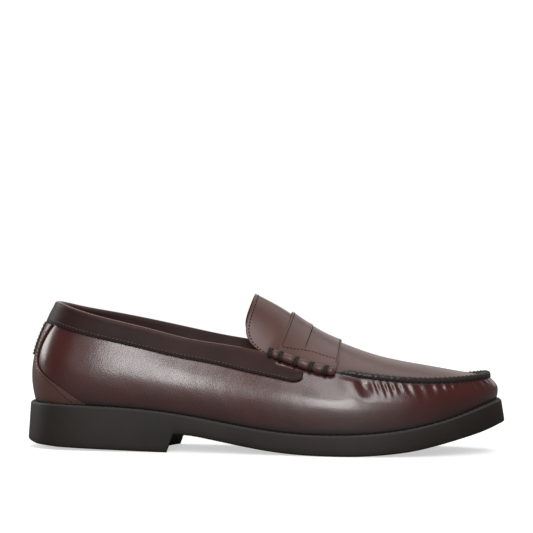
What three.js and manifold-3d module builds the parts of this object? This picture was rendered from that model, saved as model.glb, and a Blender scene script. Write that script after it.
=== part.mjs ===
// A men's penny loafer, right foot: moccasin-style leather upper on a moulded rubber sole unit.
// Millimetres, +Z up, +X towards the toe, +Y to the inner (medial) side, the ground at z = 0.
// The origin is the centre of the shoe's outline on the ground.
//
// Everything is built in pattern coordinates, x = 0 at the back of the heel, and moved once at the end.
// Thirty stations go once round the shoe: 0 at the back of the heel, 15 at the toe tip, the outer side
// between them on 1 to 14 and the inner side on 29 to 16. Each station gives one point of the sole's edge
// and one point of the top line, which is the collar's edge at the back and the apron seam at the front.

import * as THREE from "three";
import { mergeVertices } from "three/addons/utils/BufferGeometryUtils.js";
import Module from "manifold-3d";

// ---------- driving sizes ----------
const SOLE_LENGTH = 300;
const BALL_WIDTH = 102.8;
const SOLE_THICKNESS = 13; // at the ball
const COLLAR_HEIGHT = 89.6; // ground to the top line at the back of the heel

const LEDGE = 3; // the sole's top edge stands this far out of the upper
const LEATHER = 1.5; // vamp, quarter and apron
const LINING = 1.1;
const STIFFENER = 1.3; // toe puff and heel counter
const OVERLAY = 1.3; // heel patch, collar band and saddle strap
const GAP = 0.3; // air between any two pieces
const OVERLAY_GAP = 0.45; // air under the overlays, whose rows don't follow the wall's
const PATCH_GAP = 1; // and under the heel patch, where the wall turns most

const MARGIN_WIDTH = 10; // leather turned under and glued to the sole
const BOARD = 2; // insole board
const SOCK = 1.2;
const HEEL_PAD = 3;
const SHANK_WIDTH = 14;
const SHANK_THICKNESS = 1.2;

const LIP_HEIGHT = 3.2; // the vamp's raised edge along the apron seam
const SEAM_THREAD = 1.2;
const SOLE_THREAD = 0.9;
const BAND_WIDTH = 12; // collar band, outside
const TURN_IN = 9; // collar band, inside
const BACK_STRAP_WIDTH = 9;
const BACK_STRAP_LENGTH = 21;
const ROLL_RADIUS = 2.6; // rolled ends of the saddle strap
const BINDING_THREAD = 1.2; // twine bound round the rolled ends
const BINDINGS = 5; // on each side
const SLOT_LENGTH = 24; // the coin slot in the strap
const SLOT_WIDTH = 1.2;

const TREAD_DEPTH = 1.6;
const TREAD_GROOVE = 2.4;
const TREAD_PITCH = 12;
const TREAD_RIM = 7; // plain rubber left round the tread
const POCKET = 12; // square pockets that lighten the heel, under the insole board
const POCKET_FLOOR = 7; // rubber left under a pocket

// ---------- the last's shape ----------
// The tables below are drawn for these sizes and graded to the ones above.
const DRAWN = { length: 300, width: 102.8, thickness: 13, collar: 89.6 };
const gradeX = SOLE_LENGTH / DRAWN.length;
const gradeY = BALL_WIDTH / DRAWN.width;
const gradeZ = (COLLAR_HEIGHT - SOLE_THICKNESS) / (DRAWN.collar - DRAWN.thickness);
const soleZ = (z) => z + SOLE_THICKNESS - DRAWN.thickness;
const upperZ = (z) => SOLE_THICKNESS + (z - DRAWN.thickness) * gradeZ;

// One row per station: sole edge x, y, z and top line x, y, z.
const STATIONS = [
  [0, 0, 28.8, 17.9, 0, 89.6],
  [4.5, -17, 28.7, 21.2, -12, 88.6],
  [16, -28.5, 28.5, 32, -21, 85.1],
  [37, -34, 27.9, 50, -25.8, 80.4],
  [65, -35.8, 26.7, 75, -27.6, 74.8],
  [96, -38, 23.5, 100, -28.6, 68.8],
  [125, -41.8, 18.6, 125, -30.4, 65.2],
  [151, -46.8, 14.7, 150, -34, 60.7],
  [175, -51, 13, 172, -38.4, 54.8],
  [199, -53.3, 13.2, 194, -41.6, 50.3],
  [223, -52, 15, 217, -42.2, 47],
  [246, -46.6, 18.8, 240, -39, 45.3],
  [268, -35.8, 24.4, 261.5, -31, 45.2],
  [286, -21, 30.2, 278, -19.2, 46.2],
  [296.6, -6, 33, 286.8, -7, 46.9],
  [300, 7, 33.6, 289.8, 5, 47.2],
  [297, 19, 33.2, 287, 17, 47],
  [287, 30.5, 31.2, 279, 27.2, 45.5],
  [270, 40.3, 27.6, 263.5, 36.2, 43.9],
  [249, 47.2, 23, 242, 41.8, 44],
  [225, 49.5, 18.2, 218, 42.8, 47.3],
  [200, 46.3, 15, 195, 39.4, 52.4],
  [175, 38.6, 14, 172, 33.8, 58.3],
  [150, 32.6, 16.2, 150, 31.2, 63.9],
  [124, 31, 20.4, 125, 30.5, 67.9],
  [96, 32.2, 24.6, 100, 30.3, 72.9],
  [66, 34.2, 26.6, 75, 29.3, 78.2],
  [37, 33.3, 27.8, 50, 26.7, 82.9],
  [16, 28.3, 28.5, 32, 21, 86.2],
  [4.5, 17, 28.7, 21.2, 12, 88.9],
];
const ROUND = STATIONS.length;
const TOE = ROUND / 2;

// The ridge of the instep, from the tongue at station 6 to the toe tip at station 15: x, y, z.
const CREST_START = 6;
const CREST = [
  [136, 1, 100.2],
  [160, 0, 87.9],
  [179.5, 0, 75.2],
  [197.5, 1, 67],
  [219, 2, 59.8],
  [241, 3, 55.5],
  [262.5, 4, 52],
  [279, 5, 49.3],
  [287.1, 5, 48],
  [289.8, 5, 47.2],
];

// The underside, as x, z: from the ball to the toe tip, the arch of the waist, and the heel's bevelled back.
const TOE_SPRING = [
  [200, 0], [212, 0.45], [227, 1.7], [242, 3.7], [257, 7.2], [272, 11], [287, 15], [300, 20],
];
const WAIST = [[91, 11], [101, 11], [112, 9], [124, 6.7], [137, 4.3], [152, 2], [167, 0.6], [184, 0]];
const HEEL_BEVEL = [[0, 4.6], [6, 3], [20, 1.9], [38, 1.1], [52, 0.4], [62, 0], [94, 0]];
const BREAST_BOW = 7; // the heel's front face is hollowed this deep
const BREAST_SKEW = 0.1; // and runs forward towards the inner side
const BREAST_REACH = 12; // only the first part of the waist is bent to follow it
const HEEL_END = 100; // the bevel's table holds behind this x, the toe spring's in front of it
const POCKETS_X = [30, 48, 66];
const POCKETS_Y = [-9, 9];
const TREAD_HEEL = [14, 80]; // grooves run between these x under the heel
const TREAD_BALL = [192, 290]; // and under the forepart

// How far the wall swells out of a straight line, in millimetres, and how its curve is drawn in.
const BELLY = { plain: 2.2, heel: 2.3, fore: 0.6, toe: -1.2, height: 0.38 };
const SHOULDER = { plain: 1, fore: -0.32 }; // share of the step from the top line out to the sole
const DROP = { plain: 0.42, fore: -0.2 }; // share of the wall's rise
const LEAN = { plain: 0.9, heel: 0.5, toe: 1.9 };

const wasm = await Module();
wasm.setup();

// ---------- helpers ----------
const STEP = 0.5; // stations between two rows of any piece
const WELD = 1e-4; // corners closer than this are one
const NUDGE = 0.02; // stations or shares of a height between two points that give a direction
const vec = (x, y, z) => new THREE.Vector3(x, y, z);
const UP = vec(0, 0, 1);
const mod = (value, size) => ((value % size) + size) % size;
const smooth = (value, low, high) => THREE.MathUtils.smoothstep(value, low, high);
const range = (from, to, steps) =>
  Array.from({ length: steps + 1 }, (_, i) => from + ((to - from) * i) / steps);

const rowsBetween = (from, to) => range(from, to, Math.round((to - from) / STEP));

function closedCurve(points) {
  return new THREE.CatmullRomCurve3(points, true, "catmullrom", 0.5);
}

function profile(points, height = (z) => z) {
  const curve = new THREE.SplineCurve(points.map(([x, z]) => new THREE.Vector2(x * gradeX, height(z))));
  return curve.getPoints(points.length * 2);
}

// Height of a profile at x, straight between its points.
function heightAt(points, x) {
  const next = points.findIndex((point) => point.x > x);
  if (next === 0) return points[0].y;
  if (next < 0) return points.at(-1).y;
  const [a, b] = [points[next - 1], points[next]];
  return a.y + ((b.y - a.y) * (x - a.x)) / (b.x - a.x);
}

// Triangles with merged corners, without those that a sewn edge or a pole has closed up.
function closeUp(positions) {
  const loose = new THREE.BufferGeometry();
  loose.setAttribute("position", new THREE.Float32BufferAttribute(positions, 3));
  const merged = mergeVertices(loose, WELD);
  const corners = merged.index.array;
  const kept = [];
  for (let i = 0; i < corners.length; i += 3) {
    const [a, b, c] = [corners[i], corners[i + 1], corners[i + 2]];
    if (a !== b && b !== c && c !== a) kept.push(a, b, c);
  }
  merged.setIndex(kept);
  return merged;
}

// A sheet between two skins, each a list of rows of points. Rows follow each other along the piece, and
// the outer skin faces along x across. A sewn end has its two halves joined, so it gets no end face.
function sheet(outer, inner, { sewnStart = false, sewnEnd = false } = {}) {
  const positions = [];
  const quad = (a, b, c, d) => [a, b, c, a, c, d].forEach((p) => positions.push(p.x, p.y, p.z));
  const last = outer.length - 1;
  const edge = outer[0].length - 1;
  for (let i = 0; i < last; i++) {
    for (let j = 0; j < edge; j++) {
      quad(outer[i][j], outer[i + 1][j], outer[i + 1][j + 1], outer[i][j + 1]);
      quad(inner[i][j], inner[i][j + 1], inner[i + 1][j + 1], inner[i + 1][j]);
    }
    quad(outer[i + 1][0], outer[i][0], inner[i][0], inner[i + 1][0]);
    quad(outer[i][edge], outer[i + 1][edge], inner[i + 1][edge], inner[i][edge]);
  }
  for (let j = 0; j < edge; j++) {
    if (!sewnStart) quad(outer[0][j], outer[0][j + 1], inner[0][j + 1], inner[0][j]);
    if (!sewnEnd) quad(outer[last][j + 1], outer[last][j], inner[last][j], inner[last][j + 1]);
  }
  return closeUp(positions);
}

function solid(geometry) {
  const plain = geometry.clone();
  plain.deleteAttribute("normal");
  plain.deleteAttribute("uv");
  const merged = mergeVertices(plain, WELD);
  return new wasm.Manifold(
    new wasm.Mesh({
      numProp: 3,
      vertProperties: Float32Array.from(merged.attributes.position.array),
      triVerts: Uint32Array.from(merged.index.array),
    }),
  );
}

function geometryOf(manifold) {
  const mesh = manifold.getMesh();
  const geometry = new THREE.BufferGeometry();
  geometry.setAttribute("position", new THREE.BufferAttribute(Float32Array.from(mesh.vertProperties), 3));
  geometry.setIndex(Array.from(mesh.triVerts));
  return geometry;
}

// A round thread along a list of points.
function thread(points, diameter, steps, sides = 6) {
  const ring = new THREE.Shape();
  ring.absarc(0, 0, diameter / 2, 0, 2 * Math.PI);
  return new THREE.ExtrudeGeometry(ring, {
    extrudePath: new THREE.CatmullRomCurve3(points),
    steps,
    curveSegments: sides / 2,
  });
}

// ---------- surfaces of the upper ----------
const edgeCurve = closedCurve(STATIONS.map(([x, y, z]) => vec(x * gradeX, y * gradeY, soleZ(z))));
const topCurve = closedCurve(STATIONS.map((row) => vec(row[3] * gradeX, row[4] * gradeY, upperZ(row[5]))));
const crestCurve = new THREE.CatmullRomCurve3(
  CREST.map(([x, y, z]) => vec(x * gradeX, y * gradeY, upperZ(z))),
  false,
  "catmullrom",
  0.5,
);
const along = (curve, u) => curve.getPoint(mod(u, ROUND) / ROUND);
const fromHeel = (u) => Math.min(mod(u, ROUND), ROUND - mod(u, ROUND));
const heelPart = (u) => 1 - smooth(fromHeel(u), 2.5, 5);
const forePart = (u) => smooth(fromHeel(u), 5, 10);
const toePart = (u) => smooth(fromHeel(u), 11.5, 15);

function outwards(curve, u) {
  const tangent = along(curve, u + NUDGE).sub(along(curve, u - NUDGE));
  return vec(tangent.y, -tangent.x, 0).normalize();
}

// The sole's side wall leans: its top edge stands in from the widest line, most at the toe.
const soleLean = (u) => LEAN.plain + LEAN.heel * heelPart(u) + LEAN.toe * toePart(u);

function soleTop(u, inset = 0) {
  return along(edgeCurve, u).addScaledVector(outwards(edgeCurve, u), -soleLean(u) - inset);
}

// Where the upper's outer face meets the sole. The heel patch lies outside that face.
function feather(u) {
  return soleTop(u, LEDGE + (OVERLAY + GAP) * heelPart(u)).add(vec(0, 0, GAP));
}

// The upper's outer face: height 0 at the feather, 1 at the top line.
function facePoint(u, height) {
  const foot = feather(u);
  const top = along(topCurve, u);
  const out = outwards(edgeCurve, u);
  const rise = top.z - foot.z;
  const inwards = vec(foot.x - top.x, foot.y - top.y, 0);
  const belly =
    BELLY.plain + BELLY.heel * heelPart(u) + BELLY.fore * forePart(u) + BELLY.toe * toePart(u);
  const shoulder = SHOULDER.plain + SHOULDER.fore * forePart(u);
  const drop = DROP.plain + DROP.fore * forePart(u);
  const low = foot.clone().addScaledVector(out, belly).addScaledVector(UP, BELLY.height * rise);
  const high = top.clone().addScaledVector(inwards, shoulder).addScaledVector(UP, -drop * rise);
  return new THREE.CubicBezierCurve3(foot, low, high, top).getPoint(height);
}

function faceAt(u, height, offset = 0) {
  const h = THREE.MathUtils.clamp(height, NUDGE, 1 - NUDGE);
  const alongU = facePoint(u + NUDGE, h).sub(facePoint(u - NUDGE, h));
  const alongH = facePoint(u, h + NUDGE).sub(facePoint(u, h - NUDGE));
  return facePoint(u, height).addScaledVector(alongU.cross(alongH).normalize(), offset);
}

// Height of the face that lies this far below the top line.
function belowTop(u, distance) {
  return 1 - distance / along(topCurve, u).distanceTo(feather(u));
}

// The apron and tongue: station q on the outer side is joined over the crest to its mate on the inner
// side, across from -1 to 1. The surface stands in from the top line by inset.
const CROWN_POWER = 2.15;
function apronPoint(q, across, inset) {
  const outer = along(topCurve, q).addScaledVector(outwards(topCurve, q), -inset);
  const inner = along(topCurve, -q).addScaledVector(outwards(topCurve, -q), -inset);
  const crest = crestCurve.getPoint((q - CREST_START) / (CREST.length - 1));
  crest.x -= inset * smooth(q, TOE - 2, TOE);
  const middle = outer.clone().add(inner).multiplyScalar(0.5);
  const crown = crest.sub(middle).multiplyScalar(1 - Math.abs(across) ** CROWN_POWER);
  return outer.lerp(inner, (across + 1) / 2).add(crown);
}

function apronAt(q, across, inset, offset = 0) {
  const s = Math.min(q, TOE - 0.4);
  const a = q > TOE - NUDGE ? 0 : across;
  const alongQ = apronPoint(s + NUDGE, a, inset).sub(apronPoint(s - NUDGE, a, inset));
  const alongA = apronPoint(s, a + NUDGE, inset).sub(apronPoint(s, a - NUDGE, inset));
  return apronPoint(q, across, inset).addScaledVector(alongQ.cross(alongA).normalize(), offset);
}

// ---------- places on the upper ----------
const HEIGHTS = [0, 0.12, 0.26, 0.42, 0.58, 0.72, 0.86, 1]; // rows up the wall, shared by its layers
const QUARTER_SEAM = -6.9; // on the inner side, below the rolled end
const STRAP_REAR = 7.15;
const STRAP_FRONT = 8.9;
const COLLAR_LIP = 0.4; // the upper's edge stands this far over the top line under the collar band
const lipAt = (u) =>
  COLLAR_LIP + (LIP_HEIGHT - COLLAR_LIP) * smooth(fromHeel(u), STRAP_FRONT, STRAP_FRONT + 0.5);
const APRON_INSET = LEATHER + GAP;
const liningDepth = (height) => LEATHER + OVERLAY_GAP + (STIFFENER + GAP) * (1 - smooth(height, 0.58, 0.86));
const boardZ = LEATHER + 4 * GAP; // insole board's underside over the sole

// ---------- sole unit ----------
const bottomEdge = profile(TOE_SPRING);
const heelEdge = profile(HEEL_BEVEL);
const waistEdge = profile(WAIST, soleZ);
const soleBottomZ = (x) => heightAt(x < HEEL_END * gradeX ? heelEdge : bottomEdge, x);

const WIDEST_DROP = 2.4; // the sole is widest this far under its top edge
const FOOT_INSET = 0.8; // and stands in by this much where it meets the ground
function soleBlock() {
  const across = range(-1, 1, 4);
  const sections = rowsBetween(0, TOE).map((q) => {
    const side = (u) => {
      const top = soleTop(u);
      const wide = along(edgeCurve, u).add(vec(0, 0, -WIDEST_DROP));
      const low = along(edgeCurve, u).addScaledVector(outwards(edgeCurve, u), -FOOT_INSET);
      return { top, wide, low: low.setZ(soleBottomZ(low.x)) };
    };
    const [outer, inner] = [side(q), side(-q)];
    const under = across.map((a) => outer.low.clone().lerp(inner.low, (a + 1) / 2));
    const over = across.map((a) => outer.top.clone().lerp(inner.top, (a + 1) / 2));
    return [...over, inner.wide, ...under.reverse(), outer.wide, over[0]];
  });
  const positions = [];
  for (let i = 0; i < sections.length - 1; i++) {
    for (let j = 0; j < sections[i].length - 1; j++) {
      const [a, b] = [sections[i][j], sections[i + 1][j]];
      const [c, d] = [sections[i + 1][j + 1], sections[i][j + 1]];
      [a, b, c, a, c, d].forEach((p) => positions.push(p.x, p.y, p.z));
    }
  }
  return solid(closeUp(positions));
}

// The space under the waist, with the heel's hollowed and skewed front face.
function waistCutter() {
  const below = -10;
  const breastLean = 3;
  const shape = new THREE.Shape([
    new THREE.Vector2(waistEdge[0].x - breastLean, below),
    ...waistEdge,
    new THREE.Vector2(waistEdge.at(-1).x, below),
  ]);
  const width = BALL_WIDTH * 1.2;
  const geometry = new THREE.ExtrudeGeometry(shape, { depth: width, steps: 12, bevelEnabled: false });
  geometry.rotateX(Math.PI / 2).translate(0, width / 2, 0);
  const corners = geometry.attributes.position;
  for (let i = 0; i < corners.count; i++) {
    const [x, y] = [corners.getX(i), corners.getY(i)];
    const nearBreast = 1 - smooth(x, waistEdge[0].x, waistEdge[0].x + BREAST_REACH);
    const bow = Math.max(0, 1 - (y / (BALL_WIDTH / 2)) ** 2) * BREAST_BOW;
    corners.setX(i, x + nearBreast * (y * BREAST_SKEW - bow + breastLean));
  }
  return solid(geometry);
}

// Grooves across the heel and the ball, cut square to the tread and stopped short of the side walls.
function treadCutters() {
  const grooves = [];
  const sides = rowsBetween(1, TOE - 1).map((q) => [along(edgeCurve, q), along(edgeCurve, -q)]);
  const sideAt = (i, x) => {
    return heightAt(
      sides.map((pair) => new THREE.Vector2(pair[i].x, pair[i].y)),
      x,
    );
  };
  const groove = (x) => {
    const [outer, inner] = [sideAt(0, x), sideAt(1, x)];
    const reach = TREAD_PITCH / 3;
    const slope = Math.atan2(soleBottomZ(x + reach) - soleBottomZ(x - reach), 2 * reach);
    const box = new THREE.BoxGeometry(TREAD_GROOVE, inner - outer - 2 * TREAD_RIM, 2 * TREAD_DEPTH);
    box.rotateY(-slope).translate(x, (inner + outer) / 2, soleBottomZ(x));
    grooves.push(solid(box));
  };
  for (const [first, end] of [TREAD_HEEL, TREAD_BALL]) {
    for (let x = first * gradeX; x < end * gradeX; x += TREAD_PITCH) groove(x);
  }
  return grooves;
}

function pocketCutters() {
  const pockets = [];
  const depth = 60; // right through the top
  for (const x of POCKETS_X) {
    for (const y of POCKETS_Y) {
      const box = new THREE.BoxGeometry(POCKET, POCKET, depth);
      box.translate(x * gradeX, y * gradeY, POCKET_FLOOR + depth / 2);
      pockets.push(solid(box));
    }
  }
  return pockets;
}

function outsole() {
  let unit = soleBlock().subtract(waistCutter());
  for (const cutter of [...treadCutters(), ...pocketCutters()]) unit = unit.subtract(cutter);
  return geometryOf(unit);
}

// ---------- layers on the sole ----------
// The sole's top is ruled straight across between stations q and -q. A layer lies on it between two
// heights, as wide as halfWidth makes of half the sole's width there.
const LAYER_START = 1.5;
const LAYER_END = 13;
const ROUNDED_HEEL = 0.7; // a layer's corners are drawn in by this share more of its inset at the back
const ROUNDED_TOE = 1.1; // and at the toe
const edgeInset = (inset) => (half, q) => {
  const back = ROUNDED_HEEL * (1 - smooth(q, LAYER_START, LAYER_START + 1));
  const front = ROUNDED_TOE * smooth(q, LAYER_END - 2.5, LAYER_END);
  return Math.max(half - inset * (1 + back + front) - (OVERLAY + GAP) * heelPart(q), 1);
};
function soleLayer({ from = LAYER_START, to = LAYER_END, halfWidth, base, thickness }) {
  const line = (q, over) => {
    const [outer, inner] = [soleTop(q), soleTop(-q)];
    const half = outer.distanceTo(inner) / 2;
    const share = halfWidth(half, q) / half;
    return range(-share, share, 4).map((a) => {
      const point = outer.clone().lerp(inner, (a + 1) / 2);
      return point.addScaledVector(UP, over(point.x));
    });
  };
  return sheet(
    rowsBetween(from, to).map((q) => line(q, (x) => base(x) + thickness(x))),
    rowsBetween(from, to).map((q) => line(q, base)),
  );
}

// Height of the sole's top at a plan position.
const soleRows = rowsBetween(0, TOE).map((q) => [soleTop(q), soleTop(-q)]);
function soleHeight(x, y) {
  const crossings = soleRows.map(([outer, inner]) => {
    const t = THREE.MathUtils.clamp((y - outer.y) / (inner.y - outer.y || 1), 0, 1);
    return outer.clone().lerp(inner, t);
  });
  return heightAt(
    crossings.map((point) => new THREE.Vector2(point.x, point.z)),
    x,
  );
}

const flat = (value) => () => value;
const PAD_THIN = 0.4; // the heel pad is skived to this at its front end
const PAD_SKIVE = [68, 96]; // between these x
const padAt = (x) => Math.max(HEEL_PAD * (1 - smooth(x / gradeX, ...PAD_SKIVE)), PAD_THIN);
const boardTop = boardZ + BOARD;
const boardInset = LEDGE + LEATHER + STIFFENER + 4 * GAP;
const sockInset = boardInset + LINING + 3 * GAP;

const insoleBoard = () =>
  soleLayer({
    halfWidth: edgeInset(boardInset),
    base: flat(boardZ),
    thickness: flat(BOARD),
  });
const bottomFiller = () =>
  soleLayer({
    from: 8.5,
    to: 12,
    halfWidth: edgeInset(LEDGE + MARGIN_WIDTH + 6 * GAP),
    base: flat(GAP),
    thickness: flat(LEATHER),
  });
const shank = () =>
  soleLayer({
    from: 4,
    to: 8,
    halfWidth: flat(SHANK_WIDTH / 2),
    base: flat(GAP),
    thickness: flat(SHANK_THICKNESS),
  });
const heelPad = () =>
  soleLayer({
    to: 4,
    halfWidth: edgeInset(sockInset),
    base: flat(boardTop + GAP),
    thickness: padAt,
  });
const sockLiner = () =>
  soleLayer({
    halfWidth: edgeInset(sockInset),
    base: (x) => boardTop + 2 * GAP + padAt(x),
    thickness: flat(SOCK),
  });

// ---------- leather upper ----------
// A vertical strip of the upper at station u: margin under the foot, the wall, and the lip on top.
function upperStrip(u) {
  const out = outwards(edgeCurve, u);
  const rim = outwards(topCurve, u);
  const foot = feather(u);
  const tucked = foot.clone().addScaledVector(out, -MARGIN_WIDTH);
  tucked.setZ(soleHeight(tucked.x, tucked.y) + 1.5 * GAP);
  const corner = foot.clone().addScaledVector(out, -LEATHER).addScaledVector(UP, LEATHER);
  const top = along(topCurve, u);
  const back = top.clone().addScaledVector(rim, -LEATHER);
  const outer = [tucked, ...HEIGHTS.map((h) => faceAt(u, h)), top.clone().addScaledVector(UP, lipAt(u))];
  const inner = [
    tucked.clone().addScaledVector(UP, LEATHER),
    corner,
    ...HEIGHTS.slice(1, -1).map((h) => faceAt(u, h, -LEATHER)),
    back.clone().addScaledVector(UP, -LEATHER / 2),
    back.clone().addScaledVector(UP, lipAt(u)),
  ];
  return { outer, inner };
}

function upperPiece(from, to) {
  const strips = rowsBetween(from, to).map(upperStrip);
  return sheet(
    strips.map((strip) => strip.outer),
    strips.map((strip) => strip.inner),
  );
}

const seamGap = 0.03; // stations left open where two leather pieces butt
const vamp = () => upperPiece(seamGap, ROUND + QUARTER_SEAM - seamGap);
const innerQuarter = () => upperPiece(QUARTER_SEAM + seamGap, -seamGap);

// The tongue's free edge: nearly straight over the instep, rounded forward where it reaches the collar.
const tongueEdge = (across) => 6.22 + 0.1 * across ** 2 + 0.65 * Math.abs(across) ** 14;

function overApron({ rear, front, inset, base, thickness, columns = 12, rows, sewnEnd = false }) {
  const side = range(-1, 1, columns);
  const line = (t, offset) =>
    side.map((a) => apronAt(rear(a) + (front - rear(a)) * t, a, inset, offset));
  const steps = range(0, 1, rows);
  return sheet(
    steps.map((t) => line(t, base + thickness)),
    steps.map((t) => line(t, base)),
    { sewnEnd },
  );
}

const apron = () =>
  overApron({
    rear: tongueEdge,
    front: TOE,
    inset: APRON_INSET,
    base: -LEATHER,
    thickness: LEATHER,
    rows: 18,
    sewnEnd: true,
  });

const tongueLining = () =>
  overApron({
    rear: (a) => tongueEdge(a) + 0.02,
    front: STRAP_FRONT,
    inset: APRON_INSET + LEATHER + GAP,
    base: -LEATHER - GAP - LINING,
    thickness: LINING,
    rows: 6,
  });

// Centre line of the rolled strap end: side 1 is the outer side, -1 the inner side.
const ROLL_LIFT = 0.75; // it lies out of the top line and up, in this proportion
function rollAxis(q, side) {
  const top = along(topCurve, side * q);
  const away = outwards(topCurve, side * q).addScaledVector(UP, ROLL_LIFT).normalize();
  return top.addScaledVector(away, ROLL_RADIUS + 2 * GAP);
}

function saddleStrap() {
  const skin = overApron({
    rear: () => STRAP_REAR,
    front: STRAP_FRONT - 0.15,
    inset: -GAP,
    base: GAP,
    thickness: OVERLAY,
    rows: 4,
  });
  let strap = solid(skin);
  for (const side of [1, -1]) {
    const axis = range(STRAP_REAR, STRAP_FRONT - 0.1, 6).map((q) => rollAxis(q, side));
    strap = strap.add(solid(thread(axis, 2 * ROLL_RADIUS, 6, 10)));
  }
  const middle = (STRAP_REAR + STRAP_FRONT) / 2;
  const slot = new THREE.BoxGeometry(SLOT_WIDTH, SLOT_LENGTH, 6 * OVERLAY);
  slot.rotateY(Math.PI / 6);
  const seat = apronAt(middle, 0, -GAP, GAP + OVERLAY / 2);
  slot.translate(seat.x, seat.y, seat.z);
  return geometryOf(strap.subtract(solid(slot)));
}

// One turn of twine over the rolled end, from the wall round to the strap.
const BINDING_REACH = 82; // degrees to each side
function binding(q, side) {
  const axis = rollAxis(q, side);
  const ahead = rollAxis(q + 0.05, side).sub(axis).normalize();
  const away = axis.clone().sub(along(topCurve, side * q)).normalize();
  const across = away.clone().cross(ahead).normalize().multiplyScalar(-side);
  const radius = ROLL_RADIUS + GAP + BINDING_THREAD / 2;
  const reach = THREE.MathUtils.degToRad(BINDING_REACH);
  const points = range(-reach, reach, 8).map((angle) =>
    axis
      .clone()
      .addScaledVector(away, radius * Math.cos(angle))
      .addScaledVector(across, radius * Math.sin(angle)),
  );
  return thread(points, BINDING_THREAD, 8);
}

// The collar band is folded over the top line. Its front ends run on outside, under the rolled ends.
const BAND_END = 6.8;
function collarStrip(u) {
  const rim = outwards(topCurve, u);
  const top = along(topCurve, u);
  const depth = liningDepth(1) + LINING + OVERLAY_GAP;
  const down = (distance) => belowTop(u, distance);
  const bend = 1.5; // the fold begins this far under the top line
  const fold = (out, over) => top.clone().addScaledVector(rim, out).addScaledVector(UP, over + COLLAR_LIP);
  const skin = (out, over, inside) => [
    faceAt(u, down(BAND_WIDTH), out),
    faceAt(u, down(BAND_WIDTH / 2), out),
    faceAt(u, down(bend), out),
    fold(out * 0.6, over * 0.75),
    fold(-depth / 2, over),
    fold(-depth - inside * 0.6, over * 0.75),
    faceAt(u, down(bend), -depth - inside),
    faceAt(u, down(TURN_IN), -depth - inside),
  ];
  const [near, far] = [OVERLAY_GAP, OVERLAY_GAP + OVERLAY];
  return { outer: skin(far, far, OVERLAY), inner: skin(near, near, 0) };
}

// Rounded front end of the band on one side.
const TAB_END = 7.95;
function bandTab(side) {
  const end = TAB_END;
  const rows = range(BAND_END - 0.3, end, 6);
  const line = (q, offset) => {
    const left = (end - q) / (end - BAND_END);
    const round = Math.sqrt(Math.max(0, 1 - Math.max(0, 1 - left * 2.4) ** 2));
    const [low, high] = [BAND_WIDTH - 0.6, 3.4 + ROLL_RADIUS];
    const half = ((low - high) / 2) * Math.max(round, 0.35);
    const heart = (low + high) / 2;
    const heights = [heart + half, heart, heart - half].map((distance) => belowTop(side * q, distance));
    const strip = heights.map((h) => faceAt(side * q, h, offset));
    return side > 0 ? strip : strip.reverse();
  };
  return sheet(
    rows.map((q) => line(q, OVERLAY_GAP + OVERLAY - 0.05)),
    rows.map((q) => line(q, OVERLAY_GAP + 0.05)),
  );
}

function collarBand() {
  const strips = rowsBetween(-BAND_END, BAND_END).map(collarStrip);
  const fold = sheet(
    strips.map((strip) => strip.outer),
    strips.map((strip) => strip.inner),
  );
  return geometryOf(solid(fold).add(solid(bandTab(1))).add(solid(bandTab(-1))));
}

// ---------- heel ----------
const patchTop = belowTop(0, BAND_WIDTH + GAP);
const patchEdge = [3.2, 2.35, 1.6, 0.95, 0.6, 0.55, 0.62, 0.75]; // half width in stations, from the sole up

function heelPatch() {
  const heights = range(0.02, patchTop, patchEdge.length - 1);
  const rows = range(-1, 1, 20);
  const line = (s, offset) => heights.map((h, i) => faceAt(s * patchEdge[i], h, offset));
  return sheet(
    rows.map((s) => line(s, PATCH_GAP + OVERLAY)),
    rows.map((s) => line(s, PATCH_GAP)),
  );
}

function backStrap() {
  const low = patchTop - BACK_STRAP_LENGTH / along(topCurve, 0).distanceTo(feather(0));
  const half = BACK_STRAP_WIDTH / 2 / faceAt(1, patchTop).distanceTo(faceAt(0, patchTop));
  const rows = range(-half, half, 4);
  const line = (u, offset) => range(low, patchTop, 5).map((h) => faceAt(u, h, offset));
  return sheet(
    rows.map((u) => line(u, PATCH_GAP + GAP + 2 * OVERLAY)),
    rows.map((u) => line(u, PATCH_GAP + GAP + OVERLAY)),
  );
}

// ---------- stiffeners and linings ----------
function wallLayer(from, to, heights, depth, thickness) {
  const rows = rowsBetween(from, to);
  const line = (u, extra) => heights.map((h) => faceAt(u, h, -depth(h) - extra));
  return sheet(
    rows.map((u) => line(u, 0)),
    rows.map((u) => line(u, thickness)),
  );
}

const heelCounter = () => wallLayer(-4, 4, HEIGHTS.slice(1, 5), () => LEATHER + GAP, STIFFENER);
const toePuff = () => wallLayer(12.5, 17.5, HEIGHTS.slice(2, 6), () => LEATHER + GAP, STIFFENER);
const quarterLining = () =>
  wallLayer(-7.5, 7.5, [...HEIGHTS.slice(2, -1), 0.97], liningDepth, LINING);
const vampLining = () =>
  wallLayer(7.6, ROUND - 7.6, HEIGHTS.slice(2, -1), () => LEATHER + STIFFENER + 2 * GAP, LINING);

// ---------- stitching ----------
function apronSeam() {
  const start = STRAP_FRONT + 0.15;
  const points = range(start, ROUND - start, 40).map((u) =>
    faceAt(u, 1, OVERLAY_GAP + SEAM_THREAD / 2).addScaledVector(UP, 0.2),
  );
  return thread(points, SEAM_THREAD, 48);
}

function soleSeam() {
  const points = range(0.04, ROUND - 0.04, 80).map((u) =>
    soleTop(u, LEDGE / 2 - 0.35).add(vec(0, 0, GAP + SOLE_THREAD / 2)),
  );
  return thread(points, SOLE_THREAD, 90);
}

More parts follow.
